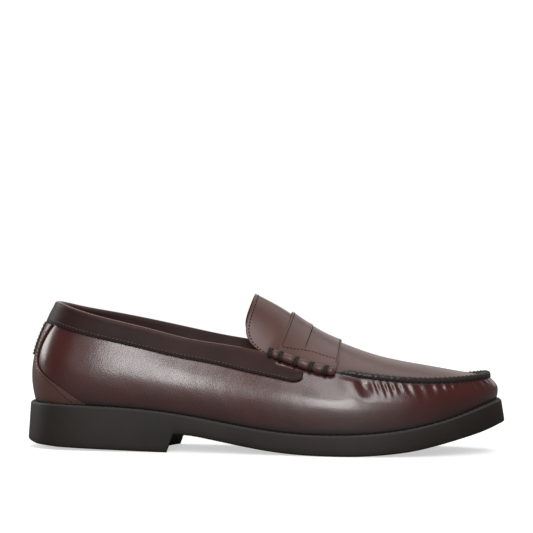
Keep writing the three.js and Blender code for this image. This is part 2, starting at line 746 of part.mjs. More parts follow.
// ---------- assembly ----------
const finish = (color, roughness, metalness = 0) =>
  new THREE.MeshStandardMaterial({ color, roughness, metalness });
const LEATHER_FINISH = () => finish(0x4a2427, 0.28);
const DARK_LEATHER = () => finish(0x3b2022, 0.32);
const RUBBER = () => finish(0x33302c, 0.75);
const THREAD_FINISH = () => finish(0x1f1b19, 0.8);
const LINING_FINISH = () => finish(0xa8683a, 0.85);
const BOARD_FINISH = () => finish(0xb89b72, 0.9);

const shoe = new THREE.Group();
function place(name, geometry, material) {
  geometry.computeVertexNormals();
  const mesh = new THREE.Mesh(geometry, material);
  mesh.name = name;
  shoe.add(mesh);
}

place("outsole", outsole(), RUBBER());
place("insole_board", insoleBoard(), BOARD_FINISH());
place("bottom_filler", bottomFiller(), finish(0x9a6b43, 0.95));
place("shank", shank(), finish(0x8f9296, 0.4, 1));
place("heel_pad", heelPad(), finish(0xd8cfc0, 0.9));
place("sock_liner", sockLiner(), LINING_FINISH());
place("vamp", vamp(), LEATHER_FINISH());
place("inner_quarter", innerQuarter(), LEATHER_FINISH());
place("apron", apron(), LEATHER_FINISH());
place("saddle_strap", saddleStrap(), DARK_LEATHER());
place("collar_band", collarBand(), DARK_LEATHER());
place("heel_patch", heelPatch(), DARK_LEATHER());
place("back_strap", backStrap(), DARK_LEATHER());
place("heel_counter", heelCounter(), BOARD_FINISH());
place("toe_puff", toePuff(), finish(0xd9d2c4, 0.9));
place("quarter_lining", quarterLining(), LINING_FINISH());
place("vamp_lining", vampLining(), LINING_FINISH());
place("tongue_lining", tongueLining(), LINING_FINISH());
place("apron_seam_thread", apronSeam(), THREAD_FINISH());
place("sole_seam_thread", soleSeam(), THREAD_FINISH());
for (const [name, side] of [["outer", 1], ["inner", -1]]) {
  range(STRAP_REAR + 0.15, STRAP_FRONT - 0.3, BINDINGS - 1).forEach((q, i) => {
    place(`${name}_binding_${i + 1}`, binding(q, side), THREAD_FINISH());
  });
}

const outline = new THREE.Box3().setFromObject(shoe);
const centre = outline.getCenter(vec(0, 0, 0));
shoe.position.set(-centre.x, -centre.y, -outline.min.z);

export default shoe;
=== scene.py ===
"""A men's penny loafer, right foot, in polished burgundy leather on a dark rubber sole unit.

Shapes are worked out in the shoemaker's pattern frame: millimetres, x = 0 at the back of the heel, +x
towards the toe, +y to the inner side and z up from the ground. to_frame() moves a point into the model's
own frame.
Thirty stations go once round the shoe: 0 at the back of the heel, 15 at the toe tip, 1 to 14 on the outer
side and 29 to 16 on the inner side.
"""

import math

import bmesh
import bpy
import numpy as np
from mathutils import Matrix, Vector


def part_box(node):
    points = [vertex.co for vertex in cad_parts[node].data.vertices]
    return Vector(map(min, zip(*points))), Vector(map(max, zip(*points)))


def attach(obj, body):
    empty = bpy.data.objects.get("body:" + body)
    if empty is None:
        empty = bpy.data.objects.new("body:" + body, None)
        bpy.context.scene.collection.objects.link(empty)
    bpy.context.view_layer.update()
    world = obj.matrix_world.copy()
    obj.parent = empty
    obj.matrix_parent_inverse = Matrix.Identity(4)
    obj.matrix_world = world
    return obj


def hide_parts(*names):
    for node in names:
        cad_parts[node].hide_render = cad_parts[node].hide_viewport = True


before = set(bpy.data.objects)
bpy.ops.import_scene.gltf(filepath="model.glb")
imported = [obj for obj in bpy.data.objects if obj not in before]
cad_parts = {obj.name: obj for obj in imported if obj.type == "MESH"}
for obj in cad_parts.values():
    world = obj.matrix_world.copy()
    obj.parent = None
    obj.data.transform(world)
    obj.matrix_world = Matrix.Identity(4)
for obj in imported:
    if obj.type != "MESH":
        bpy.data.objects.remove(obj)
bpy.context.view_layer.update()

# ---------- sizes, in millimetres ----------
LEDGE = 3.0  # the sole's top edge stands this far out of the upper
LEATHER = 1.5
LINING = 1.1
STIFFENER = 1.3
OVERLAY = 1.3  # collar band, saddle strap, heel patch
GAP = 0.3
OVERLAY_GAP = 0.45
BAND_WIDTH = 9.6  # at the side; it deepens to the front ends and a little at the back
TURN_IN = 9.0
FOLD_RISE = 1.8  # the collar band stands this far over the top line where it folds
ROLL_RADIUS = 2.5
STRAP_REAR = 7.2  # stations
STRAP_FRONT = 8.9
BAND_FRONT = 7.95
ROUND = 30
TOE = 15
NUDGE = 0.02  # stations or shares of a height between two points that give a direction

# One row per station: sole edge x, y, z and top line x, y, z.
STATIONS = np.array([
    [0, 0, 28.8, 17.9, 0, 89.6],
    [4.5, -17, 28.7, 21.2, -12, 88.6],
    [16, -28.5, 28.5, 32, -21, 85.1],
    [37, -34, 27.9, 50, -25.8, 80.4],
    [65, -35.8, 26.7, 75, -27.6, 74.8],
    [96, -38, 23.5, 100, -28.6, 68.8],
    [125, -41.8, 18.6, 125, -30.4, 65.2],
    [151, -46.8, 14.7, 150, -34, 60.7],
    [175, -51, 13, 172, -38.4, 54.8],
    [199, -53.3, 13.2, 194, -41.6, 50.3],
    [223, -52, 15, 217, -42.2, 47],
    [246, -46.6, 18.8, 240, -39, 45.3],
    [268, -35.8, 24.4, 261.5, -31, 45.2],
    [286, -21, 30.2, 278, -19.2, 46.2],
    [296.6, -6, 33, 286.8, -7, 46.9],
    [300, 7, 33.6, 289.8, 5, 47.2],
    [297, 19, 33.2, 287, 17, 47],
    [287, 30.5, 31.2, 279, 27.2, 45.5],
    [270, 40.3, 27.6, 263.5, 36.2, 43.9],
    [249, 47.2, 23, 242, 41.8, 44],
    [225, 49.5, 18.2, 218, 42.8, 47.3],
    [200, 46.3, 15, 195, 39.4, 52.4],
    [175, 38.6, 14, 172, 33.8, 58.3],
    [150, 32.6, 16.2, 150, 31.2, 63.9],
    [124, 31, 20.4, 125, 30.5, 67.9],
    [96, 32.2, 24.6, 100, 30.3, 72.9],
    [66, 34.2, 26.6, 75, 29.3, 78.2],
    [37, 33.3, 27.8, 50, 26.7, 82.9],
    [16, 28.3, 28.5, 32, 21, 86.2],
    [4.5, 17, 28.7, 21.2, 12, 88.9],
], dtype=float)

# The ridge of the instep from station 6 to the toe tip.
CREST_START = 6
CREST = np.array([
    [136, 1, 100.2],
    [160, 0, 87.9],
    [179.5, 0, 75.2],
    [197.5, 1, 67],
    [219, 2, 59.8],
    [241, 3, 55.5],
    [262.5, 4, 52],
    [279, 5, 49.3],
    [287.1, 5, 48],
    [289.8, 5, 47.2],
], dtype=float)

# Underside of the sole: the heel's worn bevel, the arched waist and the toe spring, as x, z.
HEEL_BEVEL = np.array([
    [0, 4.6], [6, 3.0], [20, 1.9], [38, 1.3], [52, 0.9], [68, 0.4], [82, 0], [94, 0],
], dtype=float)
FOREPART = np.array([
    [88, 11], [101, 11], [112, 9], [124, 6.7], [137, 4.3], [152, 2], [167, 0.6], [184, 0], [200, 0],
    [212, 0.45], [227, 1.7], [242, 3.7], [257, 7.2], [272, 11], [287, 15], [300, 20],
], dtype=float)


# ---------- curves ----------
class Spline:
    """A smooth curve through points at 0, 1, 2, ... Closed curves come back to their first point."""

    def __init__(self, points, closed=False):
        self.points = np.asarray(points, dtype=float)
        self.closed = closed
        count = len(self.points)
        matrix = np.zeros((count, count))
        right = np.zeros_like(self.points)
        for i in range(count):
            before, after = (i - 1) % count, (i + 1) % count
            if closed or 0 < i < count - 1:
                matrix[i, i] = 4
                matrix[i, before] += 1
                matrix[i, after] += 1
                right[i] = 6 * (self.points[before] - 2 * self.points[i] + self.points[after])
            else:
                matrix[i, i] = 1
        self.bend = np.linalg.solve(matrix, right)

    def __call__(self, u):
        u = np.asarray(u, dtype=float)
        count = len(self.points)
        cell = np.floor(u).astype(int)
        if self.closed:
            t = u - cell
            low, high = cell % count, (cell + 1) % count
        else:
            cell = np.clip(cell, 0, count - 2)
            t = u - cell
            low, high = cell, cell + 1
        t = t[..., None]
        s = 1 - t
        return (
            s * self.points[low] + t * self.points[high]
            + ((s ** 3 - s) * self.bend[low] + (t ** 3 - t) * self.bend[high]) / 6
        )


sole_edge = Spline(STATIONS[:, :3], closed=True)
top_line = Spline(STATIONS[:, 3:], closed=True)
crest_line = Spline(CREST)


def smooth(value, low, high):
    t = np.clip((np.asarray(value, dtype=float) - low) / (high - low), 0, 1)
    return t * t * (3 - 2 * t)


def bulge(value, middle, reach):
    return np.exp(-((value - middle) / reach) ** 2)


def unit(vectors):
    length = np.linalg.norm(vectors, axis=-1, keepdims=True)
    return vectors / np.maximum(length, 1e-9)


def mix(a, b, t):
    t = np.asarray(t)[..., None]
    return a * (1 - t) + b * t


UP = np.array([0.0, 0.0, 1.0])


def from_heel(u):
    u = np.mod(u, ROUND)
    return np.minimum(u, ROUND - u)


def heel_part(u):
    return 1 - smooth(from_heel(u), 2.5, 5)


def fore_part(u):
    return smooth(from_heel(u), 5, 10)


def toe_part(u):
    return smooth(from_heel(u), 11.5, 15)


def outwards(curve, u):
    tangent = curve(u + NUDGE) - curve(u - NUDGE)
    side = np.stack([tangent[..., 1], -tangent[..., 0], np.zeros_like(tangent[..., 0])], axis=-1)
    return unit(side)


def along(scale, direction):
    """A direction scaled by a number or by one number per point."""
    return np.asarray(scale, dtype=float)[..., None] * direction


# ---------- the upper's surfaces ----------
def sole_lean(u):
    return 0.9 + 0.5 * heel_part(u) + 1.6 * toe_part(u)


def sole_top(u, inset=0.0):
    return sole_edge(u) - along(sole_lean(u) + inset, outwards(sole_edge, u))


def feather(u):
    foot = sole_top(u, LEDGE + (OVERLAY + GAP) * heel_part(u))
    return foot + 0.1 * UP


def face_point(u, height):
    """The upper's outer face: height 0 at the sole, 1 at the top line."""
    foot, top = feather(u), top_line(u)
    out = outwards(sole_edge, u)
    rise = top[..., 2] - foot[..., 2]
    inwards = (foot - top) * np.array([1.0, 1.0, 0.0])
    belly = 4.6 + 1.4 * heel_part(u) - 2.2 * fore_part(u) - 0.4 * toe_part(u)
    shoulder = 1.1 - 0.35 * fore_part(u) + 0.3 * toe_part(u)
    drop = 0.42 - 0.08 * fore_part(u)
    low = foot + along(belly, out) + along((0.34 + 0.25 * fore_part(u)) * rise, UP)
    high = top + along(shoulder, inwards) - along(drop * rise, UP)
    t = np.asarray(height)[..., None]
    s = 1 - t
    return s ** 3 * foot + 3 * s * s * t * low + 3 * s * t * t * high + t ** 3 * top


def face_normal(u, height):
    h = np.clip(height, NUDGE, 1 - NUDGE)
    along_u = face_point(u + NUDGE, h) - face_point(u - NUDGE, h)
    along_h = face_point(u, h + NUDGE) - face_point(u, h - NUDGE)
    return unit(np.cross(along_u, along_h))


def face(u, height, offset=0.0):
    u, height = np.broadcast_arrays(np.asarray(u, float), np.asarray(height, float))
    return face_point(u, height) + along(offset, face_normal(u, height))


def below_top(u, distance):
    return 1 - distance / np.linalg.norm(top_line(u) - feather(u), axis=-1)


def band_width(u):
    distance = np.abs(u)
    return BAND_WIDTH + 3.2 * smooth(distance, 5.2, 6.9) + 1.0 * (1 - smooth(distance, 0, 1.8))


CROWN_POWER = 2.15


def apron_point(q, across, inset):
    outer = top_line(q) - along(inset, outwards(top_line, q))
    inner = top_line(-q) - along(inset, outwards(top_line, -q))
    crest = crest_line(q - CREST_START)
    crest[..., 0] -= inset * smooth(q, TOE - 2, TOE)
    middle = (outer + inner) / 2
    crown = (crest - middle) * (1 - np.abs(across)[..., None] ** CROWN_POWER)
    return mix(outer, inner, (across + 1) / 2) + crown


def apron(q, across, inset=0.0, offset=0.0):
    q, across = np.broadcast_arrays(np.asarray(q, float), np.asarray(across, float))
    inset = np.broadcast_to(inset, q.shape)
    s = np.minimum(q, TOE - 0.4)  # the ridge and the two edges meet at the tip and give no direction there
    along_q = apron_point(s + NUDGE, across, inset) - apron_point(s - NUDGE, across, inset)
    along_a = apron_point(s, across + NUDGE, inset) - apron_point(s, across - NUDGE, inset)
    return apron_point(q, across, inset) + along(offset, unit(np.cross(along_q, along_a)))


# ---------- into the model's frame ----------
outline = sole_edge(np.linspace(0, ROUND, 600))
sole_low, sole_high = (Vector(corner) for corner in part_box("outsole"))
ORIGIN = np.array([
    -1000 * sole_low.x,
    (outline[:, 1].max() + outline[:, 1].min()) / 2 - 500 * (sole_low.y + sole_high.y),
    -1000 * sole_low.z,
])


def to_frame(points):
    return (np.asarray(points) - ORIGIN) / 1000


# ---------- mesh helpers ----------
def piece_from(name, bm, material, slot, replaces=(), flat_angle=None):
    """A finished piece that rides on the shoe. Faces are smooth, with creases past flat_angle degrees."""
    mesh = bpy.data.meshes.new(name)
    for bm_face in bm.faces:
        bm_face.smooth = True
    bm.to_mesh(mesh)
    bm.free()
    if flat_angle:
        mesh.set_sharp_from_angle(angle=math.radians(flat_angle))
    piece = bpy.data.objects.new(name, mesh)
    bpy.context.scene.collection.objects.link(piece)
    mesh.materials.append(material)
    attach(piece, "root")
    if replaces:
        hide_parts(*replaces)
    return piece


def bent_grid(columns, rows, place, attributes=None, weld=0.0):
    """A flat grid bent to shape. place(x, y) takes numbers from 0 to 1 along and across the grid."""
    bm = bmesh.new()
    uv = bm.loops.layers.uv.new("surface")
    bmesh.ops.create_grid(bm, x_segments=columns, y_segments=rows, size=0.5)
    flat = np.array([vert.co[:2] for vert in bm.verts]) + 0.5
    points = to_frame(place(flat[:, 0], flat[:, 1]))
    for bm_face in bm.faces:
        for loop in bm_face.loops:
            loop[uv].uv = flat[loop.vert.index]
    for name, values in (attributes or {}).items():
        layer = bm.verts.layers.float.new(name)
        for vert, value in zip(bm.verts, values(flat[:, 0], flat[:, 1])):
            vert[layer] = value
    for vert, point in zip(bm.verts, points):
        vert.co = point
    if weld:
        bmesh.ops.remove_doubles(bm, verts=bm.verts, dist=weld / 1000)
    return bm


def nearest(share, lines):
    """The line of a grid, out of so many, that lies at each share of its width."""
    return np.rint(share * (lines - 1)).astype(int)


def thicken(piece, thickness, rounding=0.0):
    """Gives a skin its wall, inwards from its outer face, and softens the cut edges."""
    wall = piece.modifiers.new("wall", "SOLIDIFY")
    wall.thickness = thickness / 1000
    wall.offset = -1
    if rounding:
        soft = piece.modifiers.new("soft edge", "BEVEL")
        soft.width = rounding / 1000
        soft.segments = 2
        soft.limit_method = "ANGLE"
        soft.angle_limit = math.radians(50)
        soft.harden_normals = False
    return piece


def sheet(name, grid, place, burnish, finish, replaces, wall, rounding=0.0):
    """A sheet bent to shape, with its wall. grid is its columns and rows; finish a material and a slot name,
    and the slot name is not used.
    """
    bm = bent_grid(*grid, place, {"burnish": burnish} if burnish else None)
    return thicken(piece_from(name, bm, *finish, replaces), wall, rounding)


def lerp_table(table, positions):
    """Values of a table at fractional row numbers."""
    rows = np.arange(len(table))
    return np.stack([np.interp(positions, rows, table[:, k]) for k in range(table.shape[1])], axis=-1)


def resample(points, normals, pitch, start=0.0):
    """Evenly spaced places along a run of points: position, direction and normal of each."""
    lengths = np.concatenate([[0], np.cumsum(np.linalg.norm(np.diff(points, axis=0), axis=1))])
    count = max(1, int((lengths[-1] - start) // pitch))
    at = start + pitch / 2 + np.arange(count) * pitch
    at = at[at < lengths[-1]]

    def read(table, where):
        return np.stack([np.interp(where, lengths, table[:, k]) for k in range(3)], axis=-1)

    place, normal = read(points, at), read(normals, at)
    ahead, behind = read(points, at + 0.5), read(points, at - 0.5)
    return place, unit(ahead - behind), unit(normal)


STITCH_FLATNESS = 0.55  # a stitch is pulled down to this share of its width


def add_stitches(bm, run, pitch, length, width, slant=0.0, proud=0.03):
    """A row of sewn stitches: a small rounded thread between each two needle holes."""
    places, directions, normals = resample(*run, pitch)
    for place, direction, normal in zip(places, directions, normals):
        side = np.cross(normal, direction)
        if slant:
            turn = math.radians(slant)
            direction = math.cos(turn) * direction + math.sin(turn) * side
            side = np.cross(normal, direction)
        centre = to_frame(place + proud * normal)
        axes = Matrix((
            Vector(direction * length / 2000),
            Vector(side * width / 2000),
            Vector(normal * STITCH_FLATNESS * width / 2000),
        )).transposed().to_4x4()
        matrix = Matrix.Translation(Vector(centre)) @ axes
        bmesh.ops.create_uvsphere(bm, u_segments=8, v_segments=5, radius=1.0, matrix=matrix)


# ---------- material helpers ----------
def new_material(name):
    material = bpy.data.materials.new(name)
    material.use_nodes = True
    nodes = material.node_tree.nodes
    return material, nodes, material.node_tree.links, nodes["Principled BSDF"]


def ramp(nodes, stops):
    node = nodes.new("ShaderNodeValToRGB")
    elements = node.color_ramp.elements
    while len(elements) < len(stops):
        elements.new(0.5)
    for element, (position, colour) in zip(elements, stops):
        element.position = position
        element.color = (*colour, 1) if len(colour) == 3 else (colour[0], colour[0], colour[0], 1)
    return node


def group_with(name, inputs, outputs):
    group = bpy.data.node_groups.new(name, "ShaderNodeTree")
    for label, kind, default in inputs:
        socket = group.interface.new_socket(label, in_out="INPUT", socket_type=kind)
        socket.default_value = default
    for label, kind in outputs:
        group.interface.new_socket(label, in_out="OUTPUT", socket_type=kind)
    nodes = group.nodes
    return group, nodes, group.links, nodes.new("NodeGroupInput"), nodes.new("NodeGroupOutput")


def math_node(nodes, links, operation, *values, clamp=False):
    """The result of a Math node on sockets and numbers."""
    node = nodes.new("ShaderNodeMath")
    node.operation = operation
    node.use_clamp = clamp
    for socket, value in zip(node.inputs, values):
        if isinstance(value, (int, float)):
            socket.default_value = value
        else:
            links.new(value, socket)
    return node.outputs[0]


def noise_node(nodes, links, vector, scale, detail=4.0, roughness=0.5):
    node = nodes.new("ShaderNodeTexNoise")
    node.inputs["Scale"].default_value = scale
    node.inputs["Detail"].default_value = detail
    node.inputs["Roughness"].default_value = roughness
    links.new(vector, node.inputs["Vector"])
    return node


def add_relief(nodes, links, shader, height, depth, strength=0.6):
    """Feeds a relief, its depth in millimetres, to the shader's normal."""
    bump = nodes.new("ShaderNodeBump")
    bump.inputs["Distance"].default_value = depth / 1000
    bump.inputs["Strength"].default_value = strength
    links.new(height, bump.inputs["Height"])
    links.new(bump.outputs["Normal"], shader.inputs["Normal"])


def make_leather_group():
    """Polished leather: cloudy hand-burnished colour, fine pores and a slightly uneven shine."""
    group, nodes, links, source, sink = group_with(
        "polished_leather",
        [
            ("Colour", "NodeSocketColor", (0.1, 0.02, 0.02, 1)),
            ("Burnished Colour", "NodeSocketColor", (0.03, 0.01, 0.01, 1)),
            ("Cloudiness", "NodeSocketFloat", 0.5),
            ("Pore Depth", "NodeSocketFloat", 0.2),
            ("Roughness", "NodeSocketFloat", 0.3),
        ],
        [
            ("Colour", "NodeSocketColor"), ("Roughness", "NodeSocketFloat"), ("Normal", "NodeSocketVector"),
        ],
    )
    where = nodes.new("ShaderNodeTexCoord").outputs["Object"]
    burnish = nodes.new("ShaderNodeAttribute")
    burnish.attribute_name = "burnish"

    clouds = noise_node(nodes, links, where, 22, 5, 0.55)
    cloud_range = ramp(nodes, [(0.3, (0.0,)), (0.72, (1.0,))])
    links.new(clouds.outputs["Fac"], cloud_range.inputs["Fac"])
    cloudy = math_node(
        nodes, links, "MULTIPLY", cloud_range.outputs["Color"], source.outputs["Cloudiness"]
    )
    total = math_node(nodes, links, "ADD", cloudy, burnish.outputs["Fac"], clamp=True)
    blend = nodes.new("ShaderNodeMix")
    blend.data_type = "RGBA"
    links.new(total, blend.inputs["Factor"])
    links.new(source.outputs["Colour"], blend.inputs["A"])
    links.new(source.outputs["Burnished Colour"], blend.inputs["B"])
    links.new(blend.outputs["Result"], sink.inputs["Colour"])

    smears = noise_node(nodes, links, where, 60, 3, 0.6)
    uneven = math_node(
        nodes, links, "MULTIPLY_ADD", smears.outputs["Fac"], 0.14, source.outputs["Roughness"]
    )
    dull = math_node(nodes, links, "MULTIPLY_ADD", burnish.outputs["Fac"], 0.55, uneven)
    links.new(math_node(nodes, links, "SUBTRACT", dull, 0.07, clamp=True), sink.inputs["Roughness"])

    pores = nodes.new("ShaderNodeTexVoronoi")
    pores.inputs["Scale"].default_value = 1150
    pores.feature = "F1"
    links.new(where, pores.inputs["Vector"])
    creases = noise_node(nodes, links, where, 420, 4, 0.6)
    height = math_node(nodes, links, "ADD", pores.outputs["Distance"], creases.outputs["Fac"])
    waves = noise_node(nodes, links, where, 42, 2, 0.5)
    swell = nodes.new("ShaderNodeBump")
    swell.inputs["Distance"].default_value = 0.0007
    swell.inputs["Strength"].default_value = 0.6
    links.new(waves.outputs["Fac"], swell.inputs["Height"])
    bump = nodes.new("ShaderNodeBump")
    links.new(swell.outputs["Normal"], bump.inputs["Normal"])
    bump.inputs["Distance"].default_value = 0.00012
    links.new(source.outputs["Pore Depth"], bump.inputs["Strength"])
    links.new(height, bump.inputs["Height"])
    links.new(bump.outputs["Normal"], sink.inputs["Normal"])
    return group


LEATHER_GROUP = make_leather_group()


def polished_leather(name, colour, burnished, cloudiness, roughness, pores=0.25, coat=0.2, shine=0.48):
    material, nodes, links, shader = new_material(name)
    finish = nodes.new("ShaderNodeGroup")
    finish.node_tree = LEATHER_GROUP
    finish.inputs["Colour"].default_value = (*colour, 1)
    finish.inputs["Burnished Colour"].default_value = (*burnished, 1)
    finish.inputs["Cloudiness"].default_value = cloudiness
    finish.inputs["Pore Depth"].default_value = pores
    finish.inputs["Roughness"].default_value = roughness
    links.new(finish.outputs["Colour"], shader.inputs["Base Color"])
    links.new(finish.outputs["Roughness"], shader.inputs["Roughness"])
    links.new(finish.outputs["Normal"], shader.inputs["Normal"])
    shader.inputs["Coat Weight"].default_value = coat
    shader.inputs["Coat Roughness"].default_value = 0.14
    shader.inputs["Specular IOR Level"].default_value = shine
    return material


def plain_finish(name, colour, second, scale, roughness, bump_scale, bump_depth, detail=4.0):
    """A matte two-tone finish: mottled colour with its own fine relief."""
    material, nodes, links, shader = new_material(name)
    where = nodes.new("ShaderNodeTexCoord").outputs["Object"]
    mottle = noise_node(nodes, links, where, scale, detail, 0.6)
    tone = ramp(nodes, [(0.32, colour), (0.7, second)])
    links.new(mottle.outputs["Fac"], tone.inputs["Fac"])
    links.new(tone.outputs["Color"], shader.inputs["Base Color"])
    relief = noise_node(nodes, links, where, bump_scale, 5, 0.65)
    add_relief(nodes, links, shader, relief.outputs["Fac"], bump_depth)
    shader.inputs["Roughness"].default_value = roughness
    return material


def rubber_finish():
    """Moulded rubber: matte, slightly mottled, with a painted highlight that makes it paler along the
    rounded top lip.
    """
    material, nodes, links, shader = new_material("sole_rubber")
    where = nodes.new("ShaderNodeTexCoord").outputs["Object"]
    mottle = noise_node(nodes, links, where, 45, 5, 0.65)
    tone = ramp(nodes, [(0.3, (0.010, 0.0080, 0.0062)), (0.72, (0.0145, 0.0116, 0.0090))])
    links.new(mottle.outputs["Fac"], tone.inputs["Fac"])
    lip_highlight = nodes.new("ShaderNodeAttribute")
    lip_highlight.attribute_name = "lip_highlight"
    blend = nodes.new("ShaderNodeMix")
    blend.data_type = "RGBA"
    # painted highlight: the paler colour painted along the sole's rounded top lip
    blend.inputs["B"].default_value = (0.040, 0.036, 0.032, 1)
    links.new(lip_highlight.outputs["Fac"], blend.inputs["Factor"])
    links.new(tone.outputs["Color"], blend.inputs["A"])
    links.new(blend.outputs["Result"], shader.inputs["Base Color"])
    relief = noise_node(nodes, links, where, 900, 3, 0.6)
    add_relief(nodes, links, shader, relief.outputs["Fac"], 0.08, 0.5)
    shader.inputs["Roughness"].default_value = 0.62
    shader.inputs["Specular IOR Level"].default_value = 0.2
    return material


def twine_finish(name, colour, second, twist):
    """Waxed thread with its plies running round it."""
    material, nodes, links, shader = new_material(name)
    where = nodes.new("ShaderNodeTexCoord").outputs["Object"]
    plies = nodes.new("ShaderNodeTexWave")
    plies.inputs["Scale"].default_value = twist
    plies.inputs["Distortion"].default_value = 1.5
    links.new(where, plies.inputs["Vector"])
    tone = ramp(nodes, [(0.2, colour), (0.85, second)])
    links.new(plies.outputs["Fac"], tone.inputs["Fac"])
    links.new(tone.outputs["Color"], shader.inputs["Base Color"])
    add_relief(nodes, links, shader, plies.outputs["Fac"], 0.1)
    shader.inputs["Roughness"].default_value = 0.7
    shader.inputs["Specular IOR Level"].default_value = 0.15
    return material


vamp_burgundy = polished_leather(
    "vamp_leather", (0.052, 0.0085, 0.0065), (0.012, 0.003, 0.0025), 0.45, 0.29
)
brown_burgundy = polished_leather(
    "strap_leather", (0.080, 0.034, 0.026), (0.028, 0.013, 0.011), 0.4, 0.38, coat=0.08, shine=0.32
)
band_leather = polished_leather(
    "band_leather", (0.075, 0.019, 0.015), (0.013, 0.0048, 0.004), 0.3, 0.15, coat=0.0, shine=0.16
)
rubber = rubber_finish()
tan_lining = plain_finish("tan_lining", (0.42, 0.19, 0.07), (0.55, 0.28, 0.12), 70, 0.75, 1300, 0.15)
sock_leather = plain_finish("sock_leather", (0.40, 0.20, 0.09), (0.50, 0.27, 0.13), 35, 0.6, 900, 0.08)
dark_thread = twine_finish("dark_thread", (0.004, 0.004, 0.004), (0.012, 0.010, 0.009), 900)
twine = twine_finish("binding_twine", (0.014, 0.012, 0.010), (0.040, 0.035, 0.030), 900)
pale_thread = twine_finish("worn_thread", (0.055, 0.045, 0.040), (0.12, 0.10, 0.09), 900)
board_finish = plain_finish("leatherboard", (0.33, 0.22, 0.12), (0.44, 0.31, 0.19), 150, 0.85, 700, 0.12)
cork_finish = plain_finish("cork", (0.25, 0.13, 0.06), (0.44, 0.27, 0.15), 420, 0.9, 500, 0.3)
steel_finish = plain_finish("shank_steel", (0.33, 0.33, 0.34), (0.45, 0.45, 0.46), 60, 0.4, 1500, 0.02)
steel_finish.node_tree.nodes["Principled BSDF"].inputs["Metallic"].default_value = 1.0
foam_finish = plain_finish("latex_foam", (0.62, 0.57, 0.48), (0.74, 0.7, 0.62), 260, 0.95, 1200, 0.25)
plastic_finish = plain_finish("puff_sheet", (0.62, 0.58, 0.5), (0.7, 0.67, 0.6), 120, 0.6, 800, 0.06)


# ---------- sole unit ----------
GROOVE_HALF = 1.2
GROOVE_DEPTH = 1.6
GROOVE_RIM = 0.84  # share of the half width that the grooves reach
GROOVES_X = [*np.arange(14, 80, 12), *np.arange(192, 286, 12)]
BREAST_X = 88.0
BREAST_RUN = 4.0  # the heel's front face leans this far forward as it rises
BREAST_BOW = 7.0  # and is hollowed this deep
BREAST_SKEW = 0.22  # stations that it runs further forward on the inner side
TOP_INSET = 9.0  # where the sole's flat top is joined to its lip
FOOT_INSET = 1.5  # where the tread is joined to the sole's foot
LINE_GAP = 0.004  # between the two lines that make a groove's wall


def station_at(x, side=1):
    """Station on one side where the sole's edge reaches x."""
    stations = np.linspace(0, TOE, 900)
    return np.interp(x, sole_edge(side * stations)[:, 0], stations)


def underside(x, heel):
    table = HEEL_BEVEL if heel else FOREPART
    return np.interp(x, table[:, 0], table[:, 1])


def smooth_underside(x):
    """The forepart's underside with its table's corners rounded."""
    reach = np.linspace(-7, 7, 9)
    return np.mean([underside(np.clip(x + r, 100, 300), False) for r in reach], axis=0)


def sole_columns():
    """Stations of the sole's cross-sections and their marks: 0 heel, 1 forepart, 2 or 3 in a groove."""
    columns = [(q, 0) for q in np.linspace(0, station_at(BREAST_X), 60)]
    front = station_at(BREAST_X + BREAST_RUN)
    columns += [(q, 1) for q in np.linspace(front, TOE, 130)]
    for x in GROOVES_X:
        low, high = station_at(x - GROOVE_HALF), station_at(x + GROOVE_HALF)
        heel = x < BREAST_X
        columns = [c for c in columns if not low - 0.01 < c[0] < high + 0.01]
        marks = (0, 2, 2, 0) if heel else (1, 3, 3, 1)
        columns += list(zip((low, low + LINE_GAP, high - LINE_GAP, high), marks))
    return sorted(columns)


# One side's outline of the sole: inset from the outermost line and height below the top edge, then above
# the tread. The lip over the wall is rounded.
LIP = [(TOP_INSET, 0), (3.0, 0), (1.5, 0.0), (0.9, -0.12), (0.45, -0.4), (0.15, -0.85), (0.0, -1.6)]
LIP_HIGHLIGHT = [0.0, 0.25, 0.75, 1.0, 0.85, 0.4, 0.1]  # painted highlight: how pale each row of the rounded lip is painted
FOOT = [(0.0, 4.0), (0.0, 1.4), (0.25, 0.6), (0.7, 0.15), (FOOT_INSET, 0.0)]


